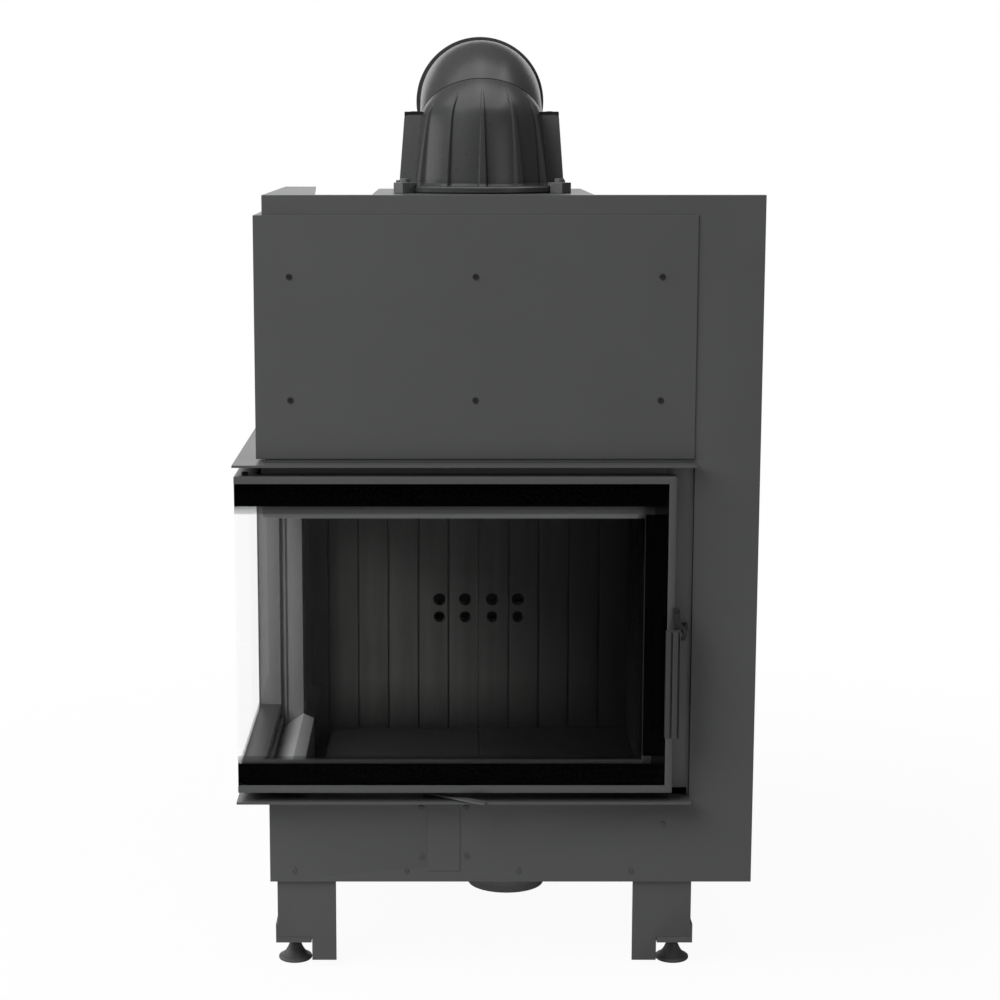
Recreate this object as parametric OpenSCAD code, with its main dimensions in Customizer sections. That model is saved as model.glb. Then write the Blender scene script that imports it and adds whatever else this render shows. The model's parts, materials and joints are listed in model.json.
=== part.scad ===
/* [Casing] */
// Width of the outer casing
body_w = 708; // [600:1:820]
// Depth of the outer casing
body_d = 480; // [460:1:560]
// Height of the outer casing, without legs and flue
body_h = 1003; // [960:1:1100]
// Height of the casing's underside above the floor
leg_h = 134; // [110:1:200]
// Thickness of the casing sheets
sheet_t = 2; // [1:0.5:3]
// How far shelf and sill reach out to the left of the casing
side_reach = 45; // [44:1:60]
// How far the handle reaches out in front of the casing
front_reach = 60; // [54:1:80]
// Width of the full-height strip right of the door
strip_w = 93.5; // [70:0.5:110]
// Width of the folded edge along the casing's top
fold_w = 20; // [10:1:30]
// How far the top panel lies below the casing's top edge
top_recess = 18; // [16:1:20]

/* [Upper panel] */
// Distance of the removable panel's top edge below the casing's top
panel_drop = 28; // [26:1:60]
// How far this panel stands off the left casing wall
panel_stand = 12.5; // [8:0.5:16]
// Thickness of this panel
panel_t = 2; // [1:0.5:3]
// Gap between the shelf and this panel
panel_gap = 3.5; // [2:0.5:6]
// Distance of the outer screws from the panel's side edges
panel_screw_x = 50; // [40:1:70]
// Distance of the screws from the panel's top and bottom edges
panel_screw_z = 86; // [60:1:100]
// Radius of a panel screw's head
screw_head_r = 4.5; // [3:0.5:6]
// Height of a screw's head
screw_head_t = 1.6; // [1:0.1:3]

/* [Shelf and sill] */
// Height of the shelf's underside above the casing's underside
shelf_rise = 621; // [620:1:626]
// Height of the sill's underside above the casing's underside
sill_rise = 127; // [122:1:128]
// Thickness of shelf and sill
shelf_t = 3.5; // [2:0.5:5]
// How far shelf and sill reach out in front of the casing
shelf_reach = 30; // [28:1:40]
// Distance from the open left side's rear end to the casing's back
rear_room = 95; // [90:1:100]

/* [Door] */
// Gap between the door's right edge and the strip beside it
door_gap = 28; // [26:0.5:34]
// Distance from the door's rear edge to the open left side's rear end
door_rear_gap = 25; // [22:1:30]
// Height of the door
door_h = 464; // [440:1:466]
// Height of the door's lower edge above the casing's underside
door_rise = 144; // [143:0.5:146]
// How far the door's front stands out of the casing
door_reach = 28; // [27:0.5:29]
// How far the door's left side stands out of the casing
door_side_reach = 42.5; // [41:0.5:43]
// Visible width of the door's outer lip
rail_lip = 10.5; // [8:0.5:14]
// Whole height of a door rail
rail_h = 42; // [38:1:46]
// Depth of a door rail
rail_d = 30; // [28:1:31]
// Depth of the rebate that holds the glass
rebate_d = 10; // [8:0.5:12]
// Thickness of the ceramic glass
glass_t = 4; // [3:0.5:5]
// Gap between the door's back and the opening frame
seal_gap = 6.5; // [5:0.5:8]
// Width of the rope seal
seal_w = 12; // [8:1:14]
// Depth of the groove that holds the rope seal
seal_groove = 5; // [3:0.5:8]

/* [Opening frame] */
// Height of the lintel below the shelf
lintel_h = 79; // [70:1:90]
// Height of the lower frame bar's top edge above the casing's underside
kerb_rise = 166; // [160:1:170]
// Thickness of the opening frame's plates
frame_t = 4; // [3:0.5:5]
// Width of the right jamb's plate
jamb_w = 64; // [56:1:70]
// Width of the hinge post, across the object
post_w = 37; // [30:1:45]
// Depth of the hinge post, front to back
post_d = 62; // [56:1:64]

/* [Firebox] */
// Thickness of the welded firebox plates
shell_t = 4; // [3:0.5:6]
// Distance from the back lining's face to the casing's back
lining_rear = 65; // [62:1:70]
// Thickness of the lining panels
lining_t = 30; // [25:1:32]
// Height of the hearth lining's top above the casing's underside
hearth_rise = 121; // [115:1:122]
// Distance of the right lining's face from the casing's right side
lining_right = 152; // [145:1:165]
// Distance of the hearth lining's left edge from the casing's left side
hearth_left = 71; // [66:1:90]
// Spacing of the lining's upright grooves
groove_pitch = 49; // [40:1:60]
// Width of a groove
groove_w = 3; // [2:0.5:5]
// Depth of a groove
groove_d = 4; // [2:0.5:6]
// Radius of the upper air holes in the back lining
hole_r = 10; // [8:0.5:11]
// Height of the upper air holes above the hearth
hole_rise = 216; // [180:1:260]
// Distance between the two rows of air holes
hole_row = 29; // [24:1:40]
// Distance of the inner and outer air holes from the middle joint
hole_x = 22; // [20:1:26]
// Distance between two air holes of a row
hole_pitch = 42; // [38:1:48]

/* [Flue] */
// Outer radius of the flue collar
flue_r = 100; // [90:1:104]
// Height of the flue collar's axis above the casing's top
flue_rise = 134; // [130:1:150]
// Distance of the flue's upright axis behind the casing's middle
flue_back = 10; // [0:1:20]
// Distance of the flue's upright axis to the left of the casing's middle
flue_left = 41.5; // [30:0.5:60]
// Radius of the elbow's bend, at its middle line
bend_r = 118; // [112:1:122]
// Length of the straight collar behind the bend
collar_l = 26; // [20:1:40]
// Wall thickness of the cast elbow
cast_t = 6; // [4:0.5:8]
// Radius of the elbow's foot
foot_cone_r = 106; // [102:1:110]
// Radius of the elbow at the joint between its two castings
waist_r = 93; // [90:1:98]
// Radius of the elbow's base flange
elbow_flange_r = 131; // [129:1:134]
// Thickness of the elbow's base flange
elbow_flange_t = 10; // [6:1:12]
// Radius of the elbow behind its bend, before it rounds out to the collar
throat_r = 94; // [91:0.5:95]
// Length of the straight throat between the bend and the collar
throat_l = 50; // [30:1:60]
// Height of the dome between the ribbed cone and the slanted joint
dome_rise = 47; // [40:1:60]
// Height of the ribs on the lower casting
rib_h = 6; // [2:0.5:8]
// Angle between two ribs
rib_step = 32; // [30:1:36]
// Width of the raised plate below the elbow
flue_plate_w = 321; // [320:1:340]
// Depth of the raised plate below the elbow
flue_plate_d = 354; // [320:1:380]
// Thickness of the raised plate
flue_plate_t = 3; // [2:0.5:5]

/* [Air supply] */
// Outer radius of the outside-air spigot
spigot_r = 60; // [50:1:66]
// Length of the spigot below the casing
spigot_l = 87; // [60:1:90]
// Wall thickness of the spigot
spigot_t = 2; // [1:0.5:3]
// Distance of the spigot's axis behind the casing's middle
spigot_back = 18; // [0:1:24]
// Length of the air lever, from its pivot to its tip
lever_l = 103; // [80:1:110]
// Width of the air lever
lever_w = 12; // [8:1:14]
// Thickness of the air lever
lever_t = 3; // [2:0.5:4]
// Angle of the air lever at rest, to the right of straight forward
lever_angle = 57; // [40:1:60]

/* [Handle] */
// Length of the handle's grip
grip_l = 157; // [120:1:180]
// Width of the handle's grip
grip_w = 20.5; // [18:0.5:28]
// Depth of the handle's grip
grip_t = 14; // [10:1:18]
// Height of the grip's upper end above the door's lower edge
grip_rise = 246; // [200:1:280]
// Height of the handle's pivot above the grip's upper end
pivot_rise = 20; // [16:1:30]

/* [Legs] */
// Width of a leg's front plate
leg_w = 86.5; // [80:0.5:100]
// Depth of a leg's side plate
leg_d = 78; // [72:1:90]
// Thickness of a leg's sheet
leg_t = 3; // [2:0.5:4]
// Width of the long inner part of a leg
leg_long_w = 36; // [30:1:40]
// Gap between the long part and the floor
leg_floor_gap = 11; // [8:1:20]
// Height of the foot bracket's underside above the floor
bracket_z = 38; // [34:1:44]
// Distance of the left legs from the casing's left side
leg_inset_left = 10; // [5:1:30]
// Distance of the right legs from the casing's right side
leg_inset_right = 87; // [60:1:100]
// Distance of the legs from the casing's front and back
leg_inset_y = 5; // [3:1:20]
// Radius of a levelling foot
foot_r = 25; // [20:1:28]
// Radius of a foot's threaded stem
stem_r = 5; // [4:0.5:6]
// How far a foot can be screwed out
foot_travel = 30; // [10:1:35]

/* [Hidden] */
$fn = 48;

// One overrun for every cut
over = 1;
// Running gap between pieces that move against each other
gap = 0.3;

// Casing planes
left_x = (side_reach - body_w) / 2;
right_x = left_x + body_w;
front_y = (front_reach - body_d) / 2;
rear_y = front_y + body_d;
base_z = leg_h;
top_z = base_z + body_h;
inner_left_x = left_x + sheet_t;
inner_right_x = right_x - sheet_t;
inner_front_y = front_y + sheet_t;
inner_rear_y = rear_y - sheet_t;
opening_right_x = right_x - strip_w;
side_open_y = rear_y - rear_room;

// Shelf, sill and the panel over the door
shelf_z = base_z + shelf_rise;
shelf_top_z = shelf_z + shelf_t;
sill_z = base_z + sill_rise;
sill_top_z = sill_z + shelf_t;
panel_z = shelf_top_z + panel_gap;
panel_top_z = top_z - panel_drop;
panel_x = left_x - panel_stand;
panel_y = front_y - panel_t;
panel_right_gap = 1;
panel_right_x = opening_right_x - panel_right_gap;
panel_window_inset = 45;

// Door planes
door_x = left_x - door_side_reach;
door_y = front_y - door_reach;
door_right_x = opening_right_x - door_gap;
door_rear_y = side_open_y - door_rear_gap;
door_z = base_z + door_rise;
door_top_z = door_z + door_h;
frame_in = rail_d + seal_gap;
frame_x = door_x + frame_in;
frame_y = door_y + frame_in;
seal_out = rail_d - seal_groove;
seal_in = frame_in - gap;
seal_edge = (rail_h - seal_w) / 2;

// Hinge axis, inside the rear end of the door's left side
hinge_inset = 10;
hinge_x = door_x + hinge_inset;
hinge_y = door_rear_y - hinge_inset;
hinge_pin_r = 4;
hinge_bore_r = hinge_pin_r + gap;
hinge_block_w = 24;
hinge_pin_l = 8;

// Opening frame
lintel_z = shelf_z - lintel_h;
kerb_top_z = base_z + kerb_rise;
lever_room = 11;
kerb_z = sill_top_z + lever_room;
frame_inner_x = frame_x + frame_t;
jamb_x = opening_right_x - jamb_w;
post_y = side_open_y - post_d;
post_right_x = frame_x + post_w;

// Side sill behind the left pane, as a bent plate
side_sill_low = 18;
side_sill_rise = 4;
side_sill_lip = 17;
side_sill_t = 4;
side_sill_fold = 8;

// Firebox planes
hearth_z = base_z + hearth_rise;
floor_plate_z = hearth_z - lining_t - shell_t;
floor_top_z = floor_plate_z + shell_t;
shell_stand = 6;
lining_y = rear_y - lining_rear;
back_plate_y = lining_y + lining_t;
lining_x = right_x - lining_right;
right_plate_x = lining_x + lining_t;
left_plate_x = inner_left_x + shell_stand;
front_plate_y = frame_y + frame_t;
front_inner_y = front_plate_y + shell_t;
top_panel_z = top_z - top_recess;
roof_z = top_panel_z - fold_w;
hearth_x = left_x + hearth_left;
flue_cx = left_x + body_w / 2 - flue_left;
flue_cy = front_y + body_d / 2 + flue_back;
back_joint_x = flue_cx;
lining_left_x = left_plate_x + shell_t;
lining_gap = 0.5;
low_hole_share = 0.9;
baffle_t = 25;
baffle_lower_share = 0.147;
baffle_upper_share = 0.558;
chamber_h = roof_z - shelf_top_z;
baffle_lower_rise = chamber_h * baffle_lower_share;
baffle_upper_rise = chamber_h * baffle_upper_share;
baffle_passage = 90;
baffle_rest_w = 20;
baffle_rest_t = 4;
hearth_front = 40;

// Flue
plate_drop = 2;
plate_top_z = top_z - plate_drop;
flue_bore_r = flue_r - cast_t;
collar_wall = 4;
collar_r = flue_bore_r + collar_wall;
collar_edge = 1.5;
collar_mid_r = flue_bore_r + cast_t / 2;
elbow_z = plate_top_z + gap;
outlet_z = top_z + flue_rise;
bend_z = outlet_z - bend_r;
bend_y = flue_cy + bend_r;
ring_y = bend_y + throat_l;
waist_angle = 45;
cone_slope = (foot_cone_r - waist_r) / (bend_r * sin(waist_angle));
elbow_flange_top = elbow_z + elbow_flange_t;
sweep_sides = 60;
sweep_steps = 12;
bend_steps = 6;
bell_steps = 6;
bell_r = flue_r - collar_edge - throat_r;
narrow_power = 1.7;
dome_soft = 6;
rib_pairs = 2;
rib_width_share = 0.14;
rib_tip_share = 0.35;
rib_fade_share = 0.82;
rib_full_share = 0.72;
rib_edge_shares = [[-1, 0], [-0.5, 1], [0.5, 1], [1, 0]];
rib_between_shares = [1 / 3, 2 / 3];
back_columns = 22;
ear_r = 122;
ear_lean = 8;
ear_t = 12;
ear_h = 104;
ear_top_r = ear_r - ear_lean;
ear_chamfer = 3;
ear_bolt_r = 5;
ear_bolt_h = 1.5;
clip_l = 22;
clip_t = 4;
clip_drop = 6;
clamp_bite = 3.7;
clamp_r = elbow_flange_r - clamp_bite;
clamp_l = 26;
clamp_w = 24;
clamp_t = 5;
clamp_angle = 36;
clamp_bolt_r = 8;
clamp_bolt_h = 6;

// Air supply
spigot_x = left_x + body_w / 2;
spigot_cy = front_y + body_d / 2 + spigot_back;
spigot_z = base_z - spigot_l;
spigot_flange = 14;
spigot_swage = 2.5;
spigot_swage_h = 3;
spigot_neck_h = 3;
spigot_neck_r = spigot_r - spigot_swage;
spigot_bore_r = spigot_neck_r - spigot_t;
air_box_margin = 348;
air_box_rear = 148;
air_box_w = body_w - air_box_margin;
air_box_d = body_d - air_box_rear;
air_box_t = 2;
air_box_gap = 0.5;
air_box_x = spigot_x - air_box_w / 2;
air_box_y = inner_front_y + air_box_gap;
air_box_z = base_z + sheet_t + spigot_t;
lever_from_left = 231;
lever_x = left_x + lever_from_left;
lever_inset = 8.5;
lever_y = front_y + lever_inset;
lever_z = sill_top_z + sheet_t;
spindle_r = 3;
spindle_bore_r = spindle_r + gap;
lever_boss_r = 8;
flap_r = 38;
flap_t = 3;
flap_angle = 60;
flap_turn = 140;
flap_z = floor_plate_z - air_box_t - gap - flap_t;
port_r = 9;
port_turn = 50;
port_reach = 26;

// Handle and latch
grip_out = 6;
grip_x = door_right_x - grip_w + grip_out;
grip_groove_shares = [0.38, 0.88];
grip_y = front_y - front_reach;
grip_top_z = door_z + grip_rise;
pivot_out = 2.7;
pivot_x = door_right_x + pivot_out;
pivot_z = grip_top_z + pivot_rise;
pivot_r = 2;
pivot_bore_r = pivot_r + gap;
bracket_in = 5;
bracket_w = 9;
bracket_h = 16;
bracket_t = 6;
arm_t = 5;
arm_w = 8;
arm_y = door_y - bracket_t - gap - arm_t;
arm_rear_y = arm_y + arm_t;
pivot_head_r = 3;
grip_groove_w = 2.5;
grip_groove_d = 5;
hook_drop = 27;
hook_z = pivot_z - hook_drop;
hook_r = 14;
hook_w = 5;
hook_end = 10;
tongue_out = 9;
tongue_x = pivot_x + tongue_out;
tongue_w = 3;
tongue_half = 3;
tongue_reach = 2;
tongue_end_y = front_y + tongue_reach;
keeper_gap = 2;
keeper_x = tongue_x + tongue_w + keeper_gap;
keeper_half = 6;
keeper_w = 5;
keeper_reach = 1;

// Legs and feet
bracket_sheet = 3;
bracket_gap = 1;
bracket_top_z = bracket_z + bracket_sheet;
leg_notch_rise = 9;
leg_notch_z = bracket_z + leg_notch_rise;
bracket_tab_h = 26;
foot_inset_x = 23;
foot_inset_y = 40;
foot_disc_t = 5;
foot_cone_h = 22;
foot_neck_r = 7.5;
stem_reserve = 14;
stem_top_z = bracket_top_z + foot_travel + stem_reserve;
nut_r = 9;
nut_h = 8;

// Service cover and its screws
cover_w = 48;
cover_from_left = 255.5;
cover_x = left_x + cover_from_left;
cover_window_inset = 8;
cover_rise = 17;
cover_drop = 9;
cover_z = base_z + cover_rise;
cover_top_z = sill_z - cover_drop;
cover_reach = 1;
cover_screw_out = 9;
cover_screw_low = 40;
cover_screw_high = 14;
base_screw_rise = 17;
base_screw_z = base_z + base_screw_rise;
base_screw_x = 35;
base_screw_pitch = 165;
base_screws = 4;
side_screw_inset = 38;
side_screw_rise = 88;
side_screw_x = opening_right_x - side_screw_inset;
side_screw_z = base_z + side_screw_rise;

steel = [0.30, 0.30, 0.31];
dark = [0.16, 0.16, 0.17];
stone = [0.20, 0.20, 0.20];

// A block between two corners
module span(a, b) {
    translate(a)
        cube(b - a);
}

// An upright sheet facing front or back, from an outline in X and Z
module front_sheet(y, t) {
    translate([0, y + t, 0])
        rotate([90, 0, 0])
            linear_extrude(t)
                children();
}

// An upright sheet facing left or right, from an outline in Y and Z
module side_sheet(x, t) {
    translate([x, 0, 0])
        rotate([90, 0, 90])
            linear_extrude(t)
                children();
}

module area(a, b) {
    translate(a)
        square(b - a);
}

// A band round the object's front left corner, between two depths behind the door's faces
module corner_band(out, in, z, h, right = door_right_x, rear = door_rear_y) {
    translate([0, 0, z])
        linear_extrude(h)
            polygon([
                [door_x + out, door_y + out], [right, door_y + out],
                [right, door_y + in], [door_x + in, door_y + in],
                [door_x + in, rear], [door_x + out, rear]
            ]);
}

module screw(x, y, z) {
    translate([x, y, z])
        rotate([90, 0, 0])
            cylinder(r = screw_head_r, h = screw_head_t);
}

module front_fascia() color(steel) {
    difference() {
        front_sheet(front_y, sheet_t) difference() {
            area([left_x, base_z], [right_x, top_z]);
            area([left_x - over, sill_z], [opening_right_x, shelf_top_z]);
            area([left_x + panel_window_inset, panel_z + panel_window_inset],
                [opening_right_x - panel_window_inset, panel_top_z - panel_window_inset]);
            area([cover_x - cover_w / 2 + cover_window_inset, cover_z + cover_window_inset],
                [cover_x + cover_w / 2 - cover_window_inset, cover_top_z - cover_window_inset]);
        }
    }
    span([left_x, inner_front_y, top_z - sheet_t], [right_x, front_y + fold_w, top_z]);
    span([opening_right_x, inner_front_y, sill_z],
        [opening_right_x + sheet_t, frame_y, shelf_top_z]);
}

module left_side_panel() color(steel)
    side_sheet(left_x, sheet_t) difference() {
        area([inner_front_y, base_z], [inner_rear_y, top_z - sheet_t]);
        area([inner_front_y - over, sill_z], [side_open_y, shelf_top_z]);
    }

module right_side_panel() color(steel)
    side_sheet(inner_right_x, sheet_t) difference() {
        area([inner_front_y, base_z], [inner_rear_y, top_z - sheet_t]);
        area([front_y + fold_w, top_panel_z + sheet_t], [rear_y, top_z]);
    }

module rear_panel() color(steel) {
    span([left_x, inner_rear_y, base_z], [right_x, rear_y, top_panel_z + sheet_t]);
    span([left_x, inner_rear_y, top_panel_z + sheet_t], [left_x + fold_w, rear_y, top_z]);
}

module bottom_panel() color(steel) difference() {
    span([inner_left_x, inner_front_y, base_z],
        [inner_right_x, inner_rear_y, base_z + sheet_t]);
    translate([spigot_x, spigot_cy, base_z - over])
        cylinder(r = spigot_neck_r, h = sheet_t + over * 2);
}

module top_panel() color(steel) difference() {
    span([inner_left_x, inner_front_y, top_panel_z],
        [inner_right_x, inner_rear_y, top_panel_z + sheet_t]);
    translate([flue_cx, flue_cy, top_panel_z - over])
        cylinder(r = collar_r, h = sheet_t + over * 2);
}

// Light strip on top of the left wall, wider at the front
module top_left_flange() color(steel) {
    flange_front_w = 74;
    flange_rear_w = 50;
    front_end = front_y + fold_w;
    rear_end = inner_rear_y;
    translate([0, 0, top_z - sheet_t])
        linear_extrude(sheet_t)
            polygon([[left_x, front_end], [left_x + flange_front_w, front_end],
                [left_x + flange_rear_w, rear_end], [left_x, rear_end]]);
    span([inner_left_x, front_end, top_panel_z + sheet_t],
        [inner_left_x + sheet_t, rear_end, top_z - sheet_t]);
}

module flue_plate() color(steel) {
    x0 = flue_cx - flue_plate_w / 2;
    x1 = flue_cx + flue_plate_w / 2;
    y0 = flue_cy - flue_plate_d / 2;
    y1 = flue_cy + flue_plate_d / 2;
    low_z = top_panel_z + sheet_t;
    difference() {
        span([x0, y0, low_z], [x1, y1, plate_top_z]);
        span([x0 + flue_plate_t, y0 + flue_plate_t, low_z - over],
            [x1 - flue_plate_t, y1 - flue_plate_t, plate_top_z - flue_plate_t]);
        translate([flue_cx, flue_cy, low_z])
            cylinder(r = flue_bore_r, h = plate_top_z);
    }
}

module smoke_collar() color(steel)
    translate([flue_cx, flue_cy, roof_z + shell_t])
        difference() {
            cylinder(r = collar_r, h = plate_top_z - flue_plate_t - roof_z - shell_t);
            translate([0, 0, -over])
                cylinder(r = flue_bore_r, h = plate_top_z);
        }

// A tray folded round the casing's front left corner
module upper_front_panel() color(steel) {
    rear = side_open_y;
    span([panel_x, panel_y, panel_z], [panel_right_x, front_y, panel_top_z]);
    span([panel_x, front_y, panel_z], [panel_x + panel_t, rear, panel_top_z]);
    for (z = [panel_z, panel_top_z - panel_t])
        span([panel_x + panel_t, front_y, z], [left_x, rear, z + panel_t]);
    span([panel_x + panel_t, rear - panel_t, panel_z + panel_t],
        [left_x, rear, panel_top_z - panel_t]);
}

module panel_screws() color(dark)
    for (x = [panel_x + panel_screw_x, (panel_x + panel_right_x) / 2,
            panel_right_x - panel_screw_x])
        for (z = [panel_z + panel_screw_z, panel_top_z - panel_screw_z])
            screw(x, panel_y, z);

module service_cover() color(steel)
    span([cover_x - cover_w / 2, front_y - cover_reach, cover_z],
        [cover_x + cover_w / 2, front_y, cover_top_z]);

module casing_screws() color(dark) {
    for (side = [-1, 1])
        for (z = [base_z + cover_screw_low, sill_z - cover_screw_high])
            screw(cover_x + side * (cover_w / 2 + cover_screw_out), front_y, z);
    for (i = [0 : base_screws - 1])
        screw(left_x + base_screw_x + i * base_screw_pitch, front_y, base_screw_z);
    screw(side_screw_x, front_y, side_screw_z);
}

module ledge(z) {
    out_x = left_x - side_reach;
    out_y = front_y - shelf_reach;
    translate([0, 0, z])
        linear_extrude(shelf_t)
            polygon([[out_x, out_y], [opening_right_x, out_y], [opening_right_x, front_inner_y],
                [lining_left_x, front_inner_y], [lining_left_x, side_open_y],
                [out_x, side_open_y]]);
}

module shelf() color(steel) ledge(shelf_z);

module sill() color(steel) difference() {
    ledge(sill_z);
    translate([lever_x, lever_y, sill_z - over])
        cylinder(r = spindle_bore_r, h = shelf_t + over * 2);
}

// Fixed frame that the door's seal closes on: lintel, lower bar and right jamb
module opening_frame() color(steel) {
    corner_band(frame_in, frame_in + frame_t, lintel_z, shelf_z - lintel_z,
        opening_right_x, post_y);
    corner_band(frame_in, frame_in + frame_t, kerb_z, kerb_top_z - kerb_z,
        opening_right_x, post_y);
    span([jamb_x, frame_y, kerb_z], [opening_right_x, front_plate_y, shelf_z]);
    span([frame_x, post_y - frame_t, sill_top_z], [frame_inner_x, post_y, kerb_z]);
    span([opening_right_x - frame_t, frame_y, sill_top_z],
        [opening_right_x, front_plate_y, kerb_z]);
}

module hinge_post() color(steel) difference() {
    span([frame_x, post_y, sill_top_z], [post_right_x, side_open_y, shelf_z]);
    span([frame_inner_x, post_y + frame_t, sill_top_z - over],
        [post_right_x - frame_t, side_open_y - frame_t, shelf_z + over]);
}

// Bent plate behind the left pane, rising from the frame to a crest and falling inwards
module side_sill() color(steel) {
    crest_z = kerb_top_z + side_sill_rise;
    low_z = kerb_top_z - side_sill_low;
    lip_z = crest_z - side_sill_fold;
    x0 = frame_inner_x;
    x1 = post_right_x;
    x2 = post_right_x + side_sill_lip;
    translate([0, post_y, 0])
        rotate([90, 0, 0])
            linear_extrude(post_y - front_inner_y)
                polygon([[x0, low_z], [x1, crest_z], [x2, lip_z], [x2, floor_top_z],
                    [x2 - side_sill_t, floor_top_z], [x2 - side_sill_t, lip_z - side_sill_t],
                    [x1, crest_z - side_sill_t], [x0, low_z - side_sill_t]]);
}

module firebox_back() color(dark)
    span([left_plate_x, back_plate_y, floor_plate_z],
        [right_plate_x + shell_t, back_plate_y + shell_t, roof_z + shell_t]);

module firebox_right() color(dark)
    span([right_plate_x, front_inner_y, floor_top_z],
        [right_plate_x + shell_t, back_plate_y, roof_z]);

module firebox_left() color(dark)
    side_sheet(left_plate_x, shell_t) difference() {
        area([front_plate_y, floor_top_z], [back_plate_y, roof_z]);
        area([front_plate_y - over, sill_z], [side_open_y, shelf_top_z]);
    }

module firebox_front() color(dark)
    front_sheet(front_plate_y, shell_t) difference() {
        area([lining_left_x, floor_top_z], [right_plate_x + shell_t, roof_z]);
        area([lining_left_x - over, sill_z],
            [right_plate_x + shell_t + over, shelf_top_z]);
    }

// Place of the primary air port, beside the air lever's spindle
module at_port(z)
    translate([lever_x + port_reach * cos(port_turn), lever_y + port_reach * sin(port_turn), z])
        children();

module firebox_floor() color(dark) difference() {
    span([left_plate_x, front_plate_y, floor_plate_z],
        [right_plate_x + shell_t, back_plate_y, floor_top_z]);
    at_port(floor_plate_z - over)
        cylinder(r = port_r, h = shell_t + over * 2);
}

module firebox_roof() color(dark) difference() {
    span([left_plate_x, front_plate_y, roof_z],
        [right_plate_x + shell_t, back_plate_y, roof_z + shell_t]);
    translate([flue_cx, flue_cy, roof_z - over])
        cylinder(r = flue_bore_r, h = shell_t + over * 2);
}

// Half of the back lining: side is -1 for the left half, 1 for the right half
module back_lining(side, edge_x) {
    top = shelf_z - lining_gap;
    joint = back_joint_x + side * lining_gap / 2;
    x0 = min(joint, edge_x);
    x1 = max(joint, edge_x);
    grooves = floor((x1 - x0) / groove_pitch);
    difference() {
        span([x0, lining_y, hearth_z - lining_t], [x1, back_plate_y, top]);
        for (i = [1 : grooves])
            if (i * groove_pitch < x1 - x0 - groove_w)
                translate([back_joint_x + side * i * groove_pitch, lining_y, 0])
                    span([-groove_w / 2, -over, hearth_z], [groove_w / 2, groove_d, top + over]);
        for (i = [0, 1])
            for (row = [0, 1])
                translate([back_joint_x + side * (hole_x + i * hole_pitch), lining_y - over,
                        hearth_z + hole_rise - row * hole_row])
                    rotate([-90, 0, 0])
                        cylinder(r = hole_r * (row == 0 ? 1 : low_hole_share), h = lining_t + over * 2);
    }
}

module lining_back_left() color(stone) back_lining(-1, lining_left_x);

module lining_back_right() color(stone) back_lining(1, lining_x);

module lining_right() color(stone) {
    front = front_inner_y;
    top = shelf_z - lining_gap;
    grooves = floor((back_plate_y - front) / groove_pitch);
    difference() {
        span([lining_x, front, hearth_z - lining_t], [right_plate_x, back_plate_y, top]);
        for (i = [1 : grooves])
            if (lining_y - i * groove_pitch > front + groove_w)
                translate([lining_x, lining_y - i * groove_pitch, 0])
                    span([-over, -groove_w / 2, hearth_z],
                        [groove_d, groove_w / 2, top + over]);
    }
}

module floor_lining(x0, x1)
    span([x0, front_y + hearth_front, hearth_z - lining_t], [x1, lining_y - lining_gap, hearth_z]);

module lining_floor_left() color(stone)
    floor_lining(hearth_x, back_joint_x - lining_gap / 2);

module lining_floor_right() color(stone)
    floor_lining(back_joint_x + lining_gap / 2, lining_x - lining_gap);

// Insulating plates over the fire: the lower one leaves a passage at the front,
// the upper one a passage at the back
module baffle(z, y0, y1)
    span([lining_left_x + lining_gap, y0, z],
        [right_plate_x - lining_gap, y1, z + baffle_t]);

module baffle_lower() color(stone)
    baffle(shelf_top_z + baffle_lower_rise, front_inner_y + baffle_passage,
        back_plate_y - lining_gap);

module baffle_upper() color(stone)
    baffle(shelf_top_z + baffle_upper_rise, front_inner_y + lining_gap,
        back_plate_y - baffle_passage);

module baffle_rests() color(dark)
    for (x = [lining_left_x, right_plate_x - baffle_rest_w])
        for (z = [baffle_lower_rise, baffle_upper_rise])
            span([x, front_inner_y, shelf_top_z + z - baffle_rest_t],
                [x + baffle_rest_w, back_plate_y, shelf_top_z + z]);

module air_box() color(dark) {
    x1 = air_box_x + air_box_w;
    y1 = air_box_y + air_box_d;
    difference() {
        span([air_box_x, air_box_y, air_box_z], [x1, y1, floor_plate_z]);
        span([air_box_x + air_box_t, air_box_y + air_box_t, air_box_z + air_box_t],
            [x1 - air_box_t, y1 - air_box_t, floor_plate_z - air_box_t]);
        translate([spigot_x, spigot_cy, air_box_z - over])
            cylinder(r = spigot_bore_r, h = air_box_t + over * 2);
        at_port(floor_plate_z - air_box_t - over)
            cylinder(r = port_r, h = air_box_t + over * 2);
        translate([lever_x, lever_y, floor_plate_z - air_box_t - over])
            cylinder(r = spindle_bore_r, h = air_box_t + over * 2);
    }
}

module intake_spigot() color(steel) {
    neck_z = base_z - spigot_neck_h;
    seat_z = base_z + sheet_t;
    translate([spigot_x, spigot_cy, 0])
        rotate_extrude()
            polygon([
                [spigot_r - spigot_t, spigot_z],
                [spigot_r, spigot_z],
                [spigot_r, neck_z - spigot_swage_h],
                [spigot_neck_r, neck_z],
                [spigot_neck_r, seat_z],
                [spigot_r + spigot_flange, seat_z],
                [spigot_r + spigot_flange, seat_z + spigot_t],
                [spigot_bore_r, seat_z + spigot_t],
                [spigot_bore_r, neck_z],
                [spigot_r - spigot_t, neck_z - spigot_swage_h]]);
}

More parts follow.
